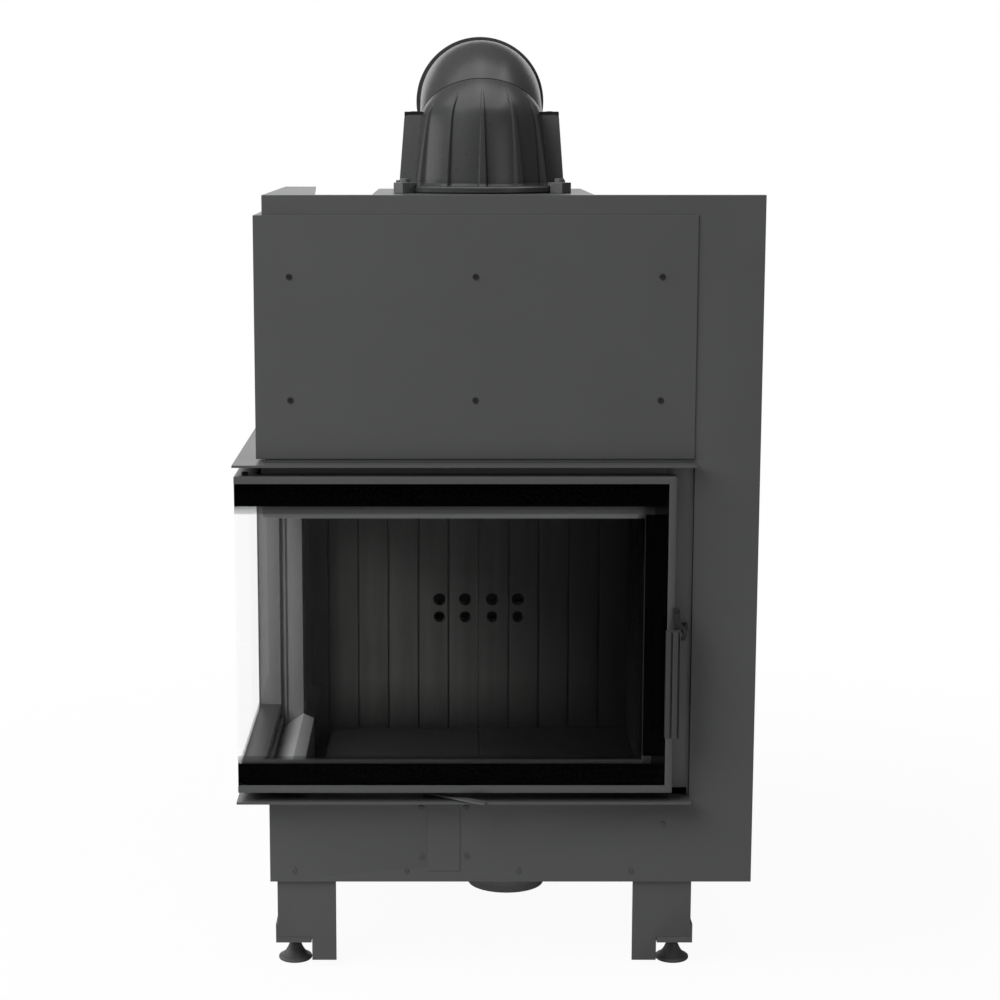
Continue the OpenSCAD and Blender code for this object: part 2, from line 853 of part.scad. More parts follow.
// Clamps with bolts that hold the elbow's turning flange down on the raised plate
module flange_clamps() color(dark)
    for (a = [clamp_angle, 180 - clamp_angle, 180 + clamp_angle, -clamp_angle])
        translate([flue_cx, flue_cy, 0])
            rotate([0, 0, a]) {
                finger_z = elbow_flange_top + gap;
                heel = elbow_flange_r + gap * 2;
                span([clamp_r, -clamp_w / 2, finger_z],
                    [clamp_r + clamp_l, clamp_w / 2, finger_z + clamp_t]);
                span([heel, -clamp_w / 2, plate_top_z],
                    [clamp_r + clamp_l, clamp_w / 2, finger_z]);
                translate([clamp_r + clamp_l / 2, 0, finger_z + clamp_t])
                    cylinder(r = clamp_bolt_r, h = clamp_bolt_h, $fn = 6);
            }

// Leg seen from its outer front corner; side and end mirror it to the other corners
module leg(side, end) {
    x = side < 0 ? left_x + leg_inset_left : right_x - leg_inset_right;
    y = end < 0 ? front_y + leg_inset_y : rear_y - leg_inset_y;
    translate([x, y, 0])
        scale([-side, -end, 1]) {
            span([0, 0, leg_notch_z], [leg_w, leg_t, base_z]);
            span([leg_w - leg_long_w, 0, leg_floor_gap], [leg_w, leg_t, leg_notch_z]);
            span([0, leg_t, leg_notch_z], [leg_t, leg_d, base_z]);
            span([leg_t, leg_t, base_z - leg_t], [leg_w, leg_d, base_z]);
        }
}

module front_left_leg() color(steel) leg(-1, -1);

module front_right_leg() color(steel) leg(1, -1);

module rear_left_leg() color(steel) leg(-1, 1);

module rear_right_leg() color(steel) leg(1, 1);

module at_foot(side, end) {
    x = side < 0 ? left_x + leg_inset_left : right_x - leg_inset_right;
    y = end < 0 ? front_y + leg_inset_y : rear_y - leg_inset_y;
    translate([x - side * foot_inset_x, y - end * foot_inset_y, 0])
        children();
}

// Brackets below the legs' short parts, each with a tab outside and a nut for the foot's stem
module foot_brackets() color(steel)
    for (side = [-1, 1])
        for (end = [-1, 1]) {
            x = side < 0 ? left_x + leg_inset_left : right_x - leg_inset_right;
            y = end < 0 ? front_y + leg_inset_y : rear_y - leg_inset_y;
            short_w = leg_w - leg_long_w - bracket_gap;
            difference() {
                union() {
                    translate([x, y, 0])
                        scale([-side, -end, 1]) {
                            span([-bracket_sheet, 0, bracket_z],
                                [short_w, leg_d, bracket_top_z]);
                            span([-bracket_sheet, 0, bracket_top_z],
                                [0, leg_d, bracket_top_z + bracket_tab_h]);
                            span([0, 0, bracket_top_z], [short_w, leg_t, leg_notch_z]);
                        }
                    at_foot(side, end)
                        translate([0, 0, bracket_top_z])
                            cylinder(r = nut_r, h = nut_h, $fn = 6);
                }
                at_foot(side, end)
                    cylinder(r = stem_r + gap, h = base_z - leg_t);
            }
        }

module foot(side, end)
    at_foot(side, end) {
        cylinder(r = foot_r, h = foot_disc_t);
        translate([0, 0, foot_disc_t])
            cylinder(r1 = foot_r - foot_disc_t, r2 = foot_neck_r, h = foot_cone_h);
        translate([0, 0, foot_disc_t + foot_cone_h])
            cylinder(r = stem_r, h = stem_top_z - foot_disc_t - foot_cone_h);
    }

module front_left_foot() color(dark) foot(-1, -1);

module front_right_foot() color(dark) foot(1, -1);

module rear_left_foot() color(dark) foot(-1, 1);

module rear_right_foot() color(dark) foot(1, 1);

// Fixed hinge block with its pin: the lower one stands on the sill, the upper one hangs
// from the shelf
module hinge(seat_z, door_edge_z) {
    up = door_edge_z > seat_z ? 1 : -1;
    block_end = door_edge_z - up * gap;
    low = min(seat_z, block_end);
    half = hinge_block_w / 2;
    span([hinge_x - hinge_inset, hinge_y - half, low],
        [frame_x, hinge_y + half, low + abs(block_end - seat_z)]);
    translate([hinge_x, hinge_y, up > 0 ? block_end : block_end - hinge_pin_l])
        cylinder(r = hinge_pin_r, h = hinge_pin_l);
}

module lower_hinge() color(dark) hinge(sill_top_z, door_z);

module upper_hinge() color(dark) hinge(shelf_z, door_top_z);

module latch_keeper() color(dark)
    span([keeper_x, front_y - keeper_reach, hook_z - keeper_half],
        [keeper_x + keeper_w, frame_y, hook_z + keeper_half]);

// Radius of the upper casting along its bend, from the joint to the throat at 90 degrees
function outlet_r(a) =
    let (share = (a - waist_angle) / (90 - waist_angle))
    throat_r + (waist_r - throat_r) * pow(1 - share, narrow_power);

// Radius, measured from the bend's middle line, at which an upright cone is met. Behind the
// cone's axis its sides run straight back, and the inside of the bend is round.
function cone_r(turn, a) =
    let (back = bend_r * (1 - cos(a)),
        room = foot_cone_r - cone_slope * bend_r * sin(a),
        lean = cos(turn) * cos(a),
        climb = cone_slope * cos(turn) * sin(a),
        square = pow(sin(turn), 2) + lean * lean - climb * climb,
        half = room * climb - back * lean,
        round_r = (sqrt(half * half - square * (back * back - room * room)) - half) / square)
    cos(turn) <= 0 ? foot_cone_r + (waist_r - foot_cone_r) * a / waist_angle
        : round_r * lean < back ? room / (abs(sin(turn)) + climb)
        : round_r;

// Radius of the lower casting: the cone, cut off softly by the dome that leads to the joint
function base_r(turn, a) =
    let (share = a / waist_angle,
        cone = cone_r(turn, a),
        dome = waist_r + dome_rise * (1 - share),
        soft = dome_soft * (1 - share))
    (cone + dome - sqrt(pow(cone - dome, 2) + soft * soft)) / 2;

// Turn about the bend's middle line at which an upright plane through the cone's axis is met
function cone_turn(azimuth, a) =
    let (climb = cone_slope * tan(a),
        reach = (foot_cone_r - climb * bend_r) / (1 + climb * cos(azimuth)))
    atan2(reach * sin(azimuth), (bend_r + reach * cos(azimuth)) / cos(a) - bend_r);

// The places round the lower casting, each with the share of the rib's height that it has.
// Four of them follow the edges of each rib, which narrows and sinks upwards to its tip.
function base_columns(share) =
    let (a = waist_angle * share,
        fall = 1 - (1 - rib_tip_share) * min(1, share / rib_fade_share),
        half = rib_step * rib_width_share * fall,
        low = fall * min(1, max(0, (rib_fade_share - share) / (rib_fade_share - rib_full_share))),
        start = cone_turn(rib_step * (rib_pairs + rib_between_shares[0]), a))
    concat(
        [for (k = [-rib_pairs : rib_pairs]) each concat(
            [for (edge = rib_edge_shares)
                [cone_turn(rib_step * k + half * edge[0], a), edge[1] * low]],
            k < rib_pairs
                ? [for (between = rib_between_shares) [cone_turn(rib_step * (k + between), a), 0]]
                : [])],
        [for (i = [0 : back_columns])
            [start + (360 - start * 2) * i / back_columns, 0]]);

// A point of the bend: turn is 0 at the outside of the bend, which faces front
function bend_point(a, turn, r) =
    let (out = bend_r + r * cos(turn))
    [flue_cx + r * sin(turn), bend_y - out * cos(a), bend_z + out * sin(a)];

function foot_point(z, turn, r) =
    [flue_cx + r * sin(turn), flue_cy - r * cos(turn), z];

// A ring of points round the outlet's level axis
function mouth_ring(r, y) =
    [for (t = ring_turns()) [flue_cx + r * sin(t), y, outlet_z + r * cos(t)]];

function ring_turns() = [for (i = [0 : sweep_sides - 1]) 360 * i / sweep_sides - 180];

// A closed tube from a list of outer rings, then the inner rings in reverse
module tube_of(rings) {
    n = len(rings[0]);
    m = len(rings);
    faces = [for (k = [0 : m - 1]) for (i = [0 : n - 1])
        for (f = [[k * n + i, ((k + 1) % m) * n + (i + 1) % n, k * n + (i + 1) % n],
                [k * n + i, ((k + 1) % m) * n + i, ((k + 1) % m) * n + (i + 1) % n]])
            f];
    polyhedron([for (ring = rings) for (p = ring) p], faces);
}

// Lower casting: ribbed cone, bending back up to the slanted joint
module elbow_base() color(dark) {
    outer = concat(
        [[for (c = base_columns(0))
            foot_point(elbow_flange_top - over, c[0], foot_cone_r + rib_h * c[1])]],
        [for (i = [0 : sweep_steps])
            let (share = i / sweep_steps, a = waist_angle * share)
            [for (c = base_columns(share)) bend_point(a, c[0], base_r(c[0], a) + rib_h * c[1])]]);
    inner = concat(
        [for (i = [0 : sweep_steps])
            let (share = 1 - i / sweep_steps, a = waist_angle * share)
            [for (c = base_columns(share)) bend_point(a, c[0], base_r(c[0], a) - cast_t)]],
        [[for (c = base_columns(0))
            foot_point(elbow_flange_top - over, c[0], foot_cone_r - cast_t)]]);
    tube_of(concat(outer, inner));
    translate([flue_cx, flue_cy, elbow_z])
        difference() {
            cylinder(r = elbow_flange_r, h = elbow_flange_t);
            translate([0, 0, -over])
                cylinder(r = flue_bore_r, h = elbow_flange_t + over * 2);
        }
    for (side = [-1, 1])
        translate([flue_cx, flue_cy - ear_t / 2, elbow_flange_top])
            scale([side, 1, 1])
                rotate([90, 0, 0])
                    translate([0, 0, -ear_t])
                        linear_extrude(ear_t)
                            polygon([[foot_cone_r - cast_t / 2, -over], [ear_r, -over],
                                [ear_top_r, ear_h - ear_chamfer],
                                [ear_top_r - ear_chamfer, ear_h],
                                [waist_r - cast_t / 2, ear_h]]);
}

// Upper casting: smooth bend and a straight throat that opens like a bell to the collar
module elbow_outlet() color(dark) {
    turns = ring_turns();
    lift = 2 * asin(gap / 2 / bend_r);
    angles = [for (i = [0 : bend_steps])
        waist_angle + lift + (90 - waist_angle - lift) * i / bend_steps];
    bell_mid = throat_r + bell_r;
    bell_y = ring_y - bell_r;
    turn_in = acos((bell_mid - collar_mid_r) / (bell_r + cast_t));
    outer = concat(
        [for (a = angles) [for (t = turns) bend_point(a, t, outlet_r(a))]],
        [for (i = [0 : bell_steps])
            let (turn = 90 * i / bell_steps)
            mouth_ring(bell_mid - bell_r * cos(turn), bell_y + bell_r * sin(turn))]);
    inner = concat(
        [for (i = [0 : bell_steps])
            let (turn = turn_in * (1 - i / bell_steps), r = bell_r + cast_t)
            mouth_ring(bell_mid - r * cos(turn), bell_y + r * sin(turn))],
        [for (i = [0 : bend_steps])
            let (a = angles[bend_steps - i])
            [for (t = turns) bend_point(a, t, outlet_r(a) - cast_t)]]);
    tube_of(concat(outer, inner));
    translate([flue_cx, ring_y + collar_edge, outlet_z])
        rotate([-90, 0, 0])
            difference() {
                cylinder(r = flue_r, h = collar_l - collar_edge);
                translate([0, 0, -over])
                    cylinder(r = flue_bore_r, h = collar_l + over * 2);
            }
}

// Clips over the ears' tops, each with its bolt
module elbow_bolts() color(dark)
    for (side = [-1, 1])
        translate([flue_cx, flue_cy, elbow_flange_top + ear_h])
            scale([side, 1, 1]) {
                span([ear_top_r - clip_l, -ear_t / 2, 0],
                    [ear_top_r + clip_t, ear_t / 2, clip_t]);
                span([ear_top_r + gap * 2, -ear_t / 2, -clip_drop],
                    [ear_top_r + clip_t, ear_t / 2, clip_t]);
                translate([ear_top_r - clip_l / 2, 0, clip_t])
                    cylinder(r = ear_bolt_r, h = ear_bolt_h, $fn = 6);
            }

// Door frame: rails run round the corner, stiles close the right and the rear end
module door_frame() color(steel) difference() {
    union() {
        for (z = [door_z, door_top_z - rail_lip])
            corner_band(0, rail_d, z, rail_lip);
        for (z = [door_z + rail_lip, door_top_z - rail_h])
            corner_band(rebate_d, rail_d, z, rail_h - rail_lip);
        span([door_right_x - rail_lip, door_y, door_z],
            [door_right_x, door_y + rail_d, door_top_z]);
        span([door_right_x - rail_h, door_y + rebate_d, door_z],
            [door_right_x, door_y + rail_d, door_top_z]);
        span([door_x, door_rear_y - rail_lip, door_z],
            [door_x + rail_d, door_rear_y, door_top_z]);
        span([door_x + rebate_d, door_rear_y - rail_h, door_z],
            [door_x + rail_d, door_rear_y, door_top_z]);
    }
    seal_run(seal_out, rail_d + over);
    for (z = [door_z - over, door_top_z - hinge_pin_l])
        translate([hinge_x, hinge_y, z])
            cylinder(r = hinge_bore_r, h = hinge_pin_l + over);
}

// Path of the rope seal round the door's back, between two depths
module seal_run(out, in) {
    right = door_right_x - seal_edge;
    rear = door_rear_y - seal_edge;
    for (z = [door_z + seal_edge, door_top_z - seal_edge - seal_w])
        corner_band(out, in, z, seal_w, right, rear);
    span([right - seal_w, door_y + out, door_z + seal_edge],
        [right, door_y + in, door_top_z - seal_edge]);
    span([door_x + out, rear - seal_w, door_z + seal_edge],
        [door_x + in, rear, door_top_z - seal_edge]);
}

module door_seal() color([0.25, 0.24, 0.22]) seal_run(seal_out, seal_in);

module front_glass() color([0.1, 0.1, 0.1, 0.35])
    span([door_x, door_y, door_z + rail_lip],
        [door_right_x - rail_lip, door_y + glass_t, door_top_z - rail_lip]);

module side_glass() color([0.1, 0.1, 0.1, 0.35])
    span([door_x, door_y + glass_t, door_z + rail_lip],
        [door_x + glass_t, door_rear_y - rail_lip, door_top_z - rail_lip]);

// Rubbing strips that hold the panes in their rebates, and the corner's clamping screw
module glass_clips() color(dark) {
    corner_h = 5;
    clip_w = 20;
    screw_r = 4.5;
    for (z = [door_z + rail_lip, door_top_z - rail_lip - clip_w])
        corner_band(glass_t, rebate_d, z, clip_w, door_right_x - rail_lip,
            door_rear_y - rail_lip);
    for (y = [door_rear_y - rail_lip - clip_w])
        span([door_x + glass_t, y, door_z + rail_lip + clip_w],
            [door_x + rebate_d, y + clip_w, door_top_z - rail_lip - clip_w]);
    span([door_right_x - rail_lip - clip_w, door_y + glass_t, door_z + rail_lip + clip_w],
        [door_right_x - rail_lip, door_y + rebate_d, door_top_z - rail_lip - clip_w]);
    translate([door_x + rail_d / 2, door_y + rail_d / 2, door_top_z])
        cylinder(r = screw_r, h = corner_h);
}

module handle_bracket() color(dark) {
    x0 = pivot_x - bracket_in;
    span([x0, door_y - bracket_t, pivot_z - bracket_h / 2],
        [x0 + bracket_w, door_y, pivot_z + bracket_h / 2]);
    translate([pivot_x, door_y - bracket_t, pivot_z])
        rotate([90, 0, 0])
            cylinder(r = pivot_r, h = arm_t + gap * 3);
    translate([pivot_x, door_y - bracket_t - arm_t - gap * 3, pivot_z])
        rotate([90, 0, 0])
            cylinder(r = pivot_head_r, h = screw_head_t);
}

// Grip: a grooved bar that hangs from its arm and stands off the door
module handle_grip() color(steel) {
    x1 = grip_x + grip_w;
    z0 = grip_top_z - grip_l;
    difference() {
        span([grip_x, grip_y, z0], [x1, grip_y + grip_t, grip_top_z]);
        for (share = grip_groove_shares)
            span([grip_x + grip_w * share - grip_groove_w / 2, grip_y - over, z0 - over],
                [grip_x + grip_w * share + grip_groove_w / 2, grip_y + grip_groove_d,
                    grip_top_z + over]);
    }
}

// Arm with the pivot eye, a curved hook and the tongue that reaches back beside the door
module latch_hook() color(dark) difference() {
    union() {
        span([pivot_x - arm_w / 2, arm_y, grip_top_z - arm_w],
            [pivot_x + arm_w / 2, arm_rear_y, pivot_z]);
        span([pivot_x - arm_w / 2, grip_y + grip_t, grip_top_z - arm_w],
            [pivot_x + arm_w / 2, arm_y, grip_top_z - arm_t]);
        span([pivot_x + tongue_out, arm_rear_y, hook_z - tongue_half],
            [tongue_x + tongue_w, tongue_end_y, hook_z + tongue_half]);
        at_arm(pivot_x, pivot_z, 0)
            cylinder(r = arm_w / 2, h = arm_t);
        at_arm(pivot_x, hook_z, 0)
            difference() {
                cylinder(r = hook_r, h = arm_t);
                translate([0, 0, -over])
                    cylinder(r = hook_r - hook_w, h = arm_t + over * 2);
                translate([-hook_r * 2, -hook_r, -over])
                    cube([hook_r * 2, hook_r * 2, arm_t + over * 2]);
                translate([-over, -hook_r * 2, -over])
                    cube([hook_r * 2, hook_r * 2 - hook_end, arm_t + over * 2]);
            }
    }
    at_arm(pivot_x, pivot_z, over)
        cylinder(r = pivot_bore_r, h = arm_t + over * 2);
}

// A place on the arm's back, with its axis to the front
module at_arm(x, z, back)
    translate([x, arm_rear_y + back, z])
        rotate([90, 0, 0])
            children();

// Flat lever over the sill, with its spindle down into the air box
module air_lever() color(steel)
    translate([lever_x, lever_y, lever_z]) {
        cylinder(r = lever_boss_r, h = lever_t + over);
        rotate([0, 0, lever_angle - 90]) {
            span([0, -lever_w / 2, 0], [lever_l - lever_w / 2, lever_w / 2, lever_t]);
            translate([lever_l - lever_w / 2, 0, 0])
                cylinder(r = lever_w / 2, h = lever_t);
        }
    }

// Spindle with the flap that covers the primary air port
module air_flap() color(dark)
    translate([lever_x, lever_y, 0]) {
        translate([0, 0, flap_z])
            cylinder(r = spindle_r, h = lever_z - flap_z);
        translate([0, 0, flap_z])
            rotate([0, 0, flap_turn - flap_angle / 2])
                rotate_extrude(angle = flap_angle)
                    square([flap_r, flap_t]);
    }

front_fascia();
left_side_panel();
right_side_panel();
rear_panel();
bottom_panel();
top_panel();
top_left_flange();
flue_plate();
smoke_collar();
upper_front_panel();
panel_screws();
service_cover();
casing_screws();
shelf();
sill();
opening_frame();
hinge_post();
side_sill();
firebox_back();
firebox_right();
firebox_left();
firebox_front();
firebox_floor();
firebox_roof();
lining_back_left();
lining_back_right();
lining_right();
lining_floor_left();
lining_floor_right();
baffle_lower();
baffle_upper();
baffle_rests();
air_box();
intake_spigot();
flange_clamps();
front_left_leg();
front_right_leg();
rear_left_leg();
rear_right_leg();
foot_brackets();
upper_hinge();
lower_hinge();
latch_keeper();
elbow_base();
elbow_outlet();
elbow_bolts();
door_frame();
front_glass();
side_glass();
door_seal();
glass_clips();
handle_bracket();
handle_grip();
latch_hook();
air_lever();
air_flap();
front_left_foot();
front_right_foot();
rear_left_foot();
rear_right_foot();
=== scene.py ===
"""Looks of a steel fireplace insert with a corner-glass door, built round its packed CAD frame."""

import json
from contextlib import contextmanager
from functools import cache

import bmesh
import bpy
import numpy as np
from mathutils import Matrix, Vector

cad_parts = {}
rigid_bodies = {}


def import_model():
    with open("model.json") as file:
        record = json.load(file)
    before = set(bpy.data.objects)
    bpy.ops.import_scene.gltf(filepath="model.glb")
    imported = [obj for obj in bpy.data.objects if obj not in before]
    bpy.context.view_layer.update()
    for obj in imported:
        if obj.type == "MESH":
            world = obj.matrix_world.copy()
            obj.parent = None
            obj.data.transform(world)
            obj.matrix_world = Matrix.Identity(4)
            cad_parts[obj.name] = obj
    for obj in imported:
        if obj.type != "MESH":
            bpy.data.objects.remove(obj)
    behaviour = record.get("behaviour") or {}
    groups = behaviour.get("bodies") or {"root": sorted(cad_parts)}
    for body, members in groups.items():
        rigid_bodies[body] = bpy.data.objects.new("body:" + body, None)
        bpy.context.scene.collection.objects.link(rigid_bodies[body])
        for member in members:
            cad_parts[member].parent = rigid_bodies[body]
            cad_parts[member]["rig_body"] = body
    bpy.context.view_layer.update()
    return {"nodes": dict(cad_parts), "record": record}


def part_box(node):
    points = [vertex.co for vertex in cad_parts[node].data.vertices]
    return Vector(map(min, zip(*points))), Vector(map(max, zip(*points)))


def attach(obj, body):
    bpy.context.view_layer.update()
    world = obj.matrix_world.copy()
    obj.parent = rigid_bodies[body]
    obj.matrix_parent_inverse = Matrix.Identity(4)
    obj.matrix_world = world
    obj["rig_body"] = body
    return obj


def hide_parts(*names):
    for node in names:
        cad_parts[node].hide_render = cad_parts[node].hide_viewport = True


bl_info = {
    "name": "Corner-glass fireplace insert",
    "version": (1, 0, 0),
    "blender": (4, 5, 0),
    "location": "3D View > Sidebar > Insert",
    "description": "Dresses the CAD frame of a fireplace insert with finished pieces and materials",
    "category": "Object",
}

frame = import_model()

X, Y, Z = np.eye(3)
MM = 0.001
WELD, SLIVER = 1e-6, 1e-7
FLAT, SHARP = np.radians(0.5), np.radians(35)
FULL_FRAME = 36.0


# Sizes and colours


def colour(name, description, default):
    return bpy.props.FloatVectorProperty(
        name=name, description=description, subtype="COLOR", size=3, default=default)


def length(name, description, default):
    return bpy.props.FloatProperty(
        name=name, description=description, unit="LENGTH", default=default)


def angle(name, description, degrees):
    return bpy.props.FloatProperty(
        name=name, description=description, subtype="ANGLE", default=float(np.radians(degrees)))


def number(name, description, default):
    return bpy.props.FloatProperty(name=name, description=description, default=default)


class StageSettings(bpy.types.PropertyGroup):
    """Floor, light and camera."""

    camera_place: bpy.props.FloatVectorProperty(
        name="Camera place", description="Where the camera stands", subtype="XYZ",
        unit="LENGTH", size=3, default=(-0.0755, -3.360, 1.2269))
    camera_pitch: angle("Camera pitch", "How far the camera looks down", 9.42065)
    camera_lens: number("Lens", "Focal length in millimetres", 80.28)
    camera_shift: number("Shift", "Sideways shift of the picture", 0.056)
    floor_colour: colour("Floor colour", "Colour of the floor", (0.42, 0.42, 0.42))
    floor_white: number("Floor white", "Share of plain white in the floor near the object", 0.95)
    sky_strength: number("Room light", "Strength of the even light from all round", 0.17)
    lamp_strength: number("Lamp strength", "Power of the large soft lamps in watts", 62.0)


class CasingSettings(bpy.types.PropertyGroup):
    """Painted sheet steel."""

    paint: colour("Paint", "Colour of the matt stove paint", (0.043, 0.0435, 0.0445))
    # Painted light: the frame's pale grey stands in for the light on the frame's steel.
    frame_lit_paint: colour("Frame paint", "Colour of the opening frame's paint",
                        (0.185, 0.185, 0.187))
    edge: length("Sheet edge", "Radius of the sheets' edges", 0.5 * MM)
    fold: length("Fold radius", "Radius of the thicker plates' edges", 0.9 * MM)


class GlassSettings(bpy.types.PropertyGroup):
    """Panes and the print on them."""

    band: length("Print width", "Width of the front pane's black print", 32.6 * MM)
    side_band: length("Side print width", "Width of the left pane's black print", 28.0 * MM)
    dots: length("Dot rows", "Width of the rows of dots inside the print", 11.5 * MM)
    pitch: length("Dot pitch", "Distance between two dots", 3.8 * MM)
    tint: number("Tint", "How much light the panes hold back", 0.04)


class ElbowSettings(bpy.types.PropertyGroup):
    """Cast flue elbow, with the same bend as its CAD solids."""

    paint: colour("Casting paint", "Colour of the castings", (0.021, 0.0213, 0.0218))
    bend: length("Bend radius", "Radius of the bend's middle line", 118 * MM)
    foot: length("Foot radius", "Radius of the cone at its foot", 106 * MM)
    waist: length("Joint radius", "Radius at the slanted joint", 93 * MM)
    dome: length("Dome rise", "How fast the dome falls in to the joint", 47 * MM)
    throat: length("Throat radius", "Radius behind the bend", 92.6 * MM)
    throat_length: length("Throat length", "Straight length between bend and collar", 50 * MM)
    collar: length("Collar radius", "Outer radius of the collar", 100 * MM)
    collar_length: length("Collar length", "Length of the collar", 26 * MM)
    wall: length("Wall", "Wall thickness of the castings", 6 * MM)
    rib: length("Rib height", "Height of the ribs", 6 * MM)
    rib_step: angle("Rib step", "Angle between two ribs", 32)


class FireboxSettings(bpy.types.PropertyGroup):
    """Lining boards and inner steel."""

    board: colour("Lining", "Colour of the lining boards", (0.069, 0.068, 0.066))
    soot_and_shade: colour("Inner steel", "Colour of the firebox plates", (0.022, 0.022, 0.022))


SETTINGS = {
    "insert_stage": StageSettings,
    "insert_casing": CasingSettings,
    "insert_glass": GlassSettings,
    "insert_elbow": ElbowSettings,
    "insert_firebox": FireboxSettings,
}


def settings(name):
    return getattr(bpy.context.scene, "insert_" + name)


# Shader groups


class Wires:
    """Short way to add nodes to a tree and join their sockets."""

    def __init__(self, tree):
        self.tree = tree

    def add(self, kind, links=None, **values):
        node = self.tree.nodes.new("ShaderNode" + kind)
        for key, value in values.items():
            setattr(node, key, value)
        self.give(node.inputs, links or {})
        return node

    def give(self, inputs, links):
        """Each input gets a wire if its value is a socket, and the plain value if not."""
        for key, value in links.items():
            if isinstance(value, bpy.types.NodeSocket):
                self.tree.links.new(value, inputs[key])
            else:
                inputs[key].default_value = value

    def math(self, operation, first, second=0.0, third=0.0):
        node = self.add("Math", {0: first, 1: second, 2: third}, operation=operation)
        return node.outputs[0]

    def sway(self, noise, amount, middle):
        """Middle, moved up and down by amount as the noise runs from 0 to 1."""
        return self.math("MULTIPLY_ADD", self.math("SUBTRACT", noise, 0.5), amount, middle)

    def noise(self, vector, scale, detail=3.0, rough=0.55):
        node = self.add(
            "TexNoise", {"Vector": vector, "Scale": scale, "Detail": detail, "Roughness": rough})
        return node.outputs["Fac"]

    def ramp(self, value, low, high, to_low=0.0, to_high=1.0):
        node = self.add("MapRange", {"Value": value, "From Min": low, "From Max": high,
                                     "To Min": to_low, "To Max": to_high})
        return node.outputs["Result"]

    def bump(self, strength, distance, height):
        node = self.add("Bump", {"Strength": strength, "Distance": distance, "Height": height})
        return node.outputs[0]

    def tone(self, colour, share):
        """Colour times share, where share varies round one over the surface."""
        grey = self.add("CombineColor", {"Red": share, "Green": share, "Blue": share})
        node = self.add("Mix", {"Factor": 1.0, "A": colour, "B": grey.outputs[0]},
                        data_type="RGBA", blend_type="MULTIPLY")
        return node.outputs["Result"]


PLAIN = (0.05, 0.05, 0.05, 1)
SKIN = (("Color", "Color"), ("Float", "Roughness"), ("Vector", "Normal"))


def new_group(name, inputs, outputs):
    """A group with typed sockets, its wires, what it is given and what it gives."""
    group = bpy.data.node_groups.new(name, "ShaderNodeTree")
    for kind, title, *value in inputs:
        made = group.interface.new_socket(
            name=title, in_out="INPUT", socket_type="NodeSocket" + kind)
        if value:
            made.default_value = value[0]
    for kind, title in outputs:
        group.interface.new_socket(name=title, in_out="OUTPUT", socket_type="NodeSocket" + kind)
    ends = [group.nodes.new(kind) for kind in ("NodeGroupInput", "NodeGroupOutput")]
    return group, Wires(group), ends[0].outputs, ends[1].inputs


def paint_grain_group():
    """Sprayed stove paint: fine grain, broad mottle and a faint bloom of dust."""
    group, wires, given, out = new_group("Paint grain", [
        ("Vector", "Vector"), ("Color", "Paint", PLAIN), ("Float", "Grain", 1400.0),
        ("Float", "Mottle", 0.08), ("Float", "Sheen spread", 0.08), ("Float", "Roughness", 0.5),
        ("Float", "Relief", 0.06)], SKIN)
    grain = wires.noise(given["Vector"], given["Grain"], detail=2.0, rough=0.6)
    broad = wires.noise(given["Vector"], 7.0, detail=4.0, rough=0.5)
    specks = wires.noise(given["Vector"], 420.0, detail=1.0, rough=0.5)
    peppered = wires.sway(specks, 0.10, wires.sway(broad, given["Mottle"], 1.0))
    wires.give(out, {
        "Color": wires.tone(given["Paint"], peppered),
        "Roughness": wires.sway(broad, given["Sheen spread"], given["Roughness"]),
        "Normal": wires.bump(given["Relief"], 0.0004, grain)})
    return group


def cast_skin_group():
    """Sand-cast skin: soft pits over small grains, with darker pits."""
    group, wires, given, out = new_group("Cast skin", [
        ("Vector", "Vector"), ("Color", "Paint", PLAIN), ("Float", "Pit size", 240.0),
        ("Float", "Roughness", 0.4), ("Float", "Relief", 0.25)], SKIN)
    pits = wires.noise(given["Vector"], given["Pit size"], detail=3.0, rough=0.65)
    waves = wires.noise(given["Vector"], 26.0, detail=2.0, rough=0.5)
    height = wires.math("MULTIPLY_ADD", waves, 1.6, pits)
    wires.give(out, {
        "Color": wires.tone(given["Paint"], wires.ramp(pits, 0.3, 0.7, 0.9, 1.08)),
        "Roughness": wires.sway(pits, 0.16, given["Roughness"]),
        "Normal": wires.bump(given["Relief"], 0.0008, height)})
    return group


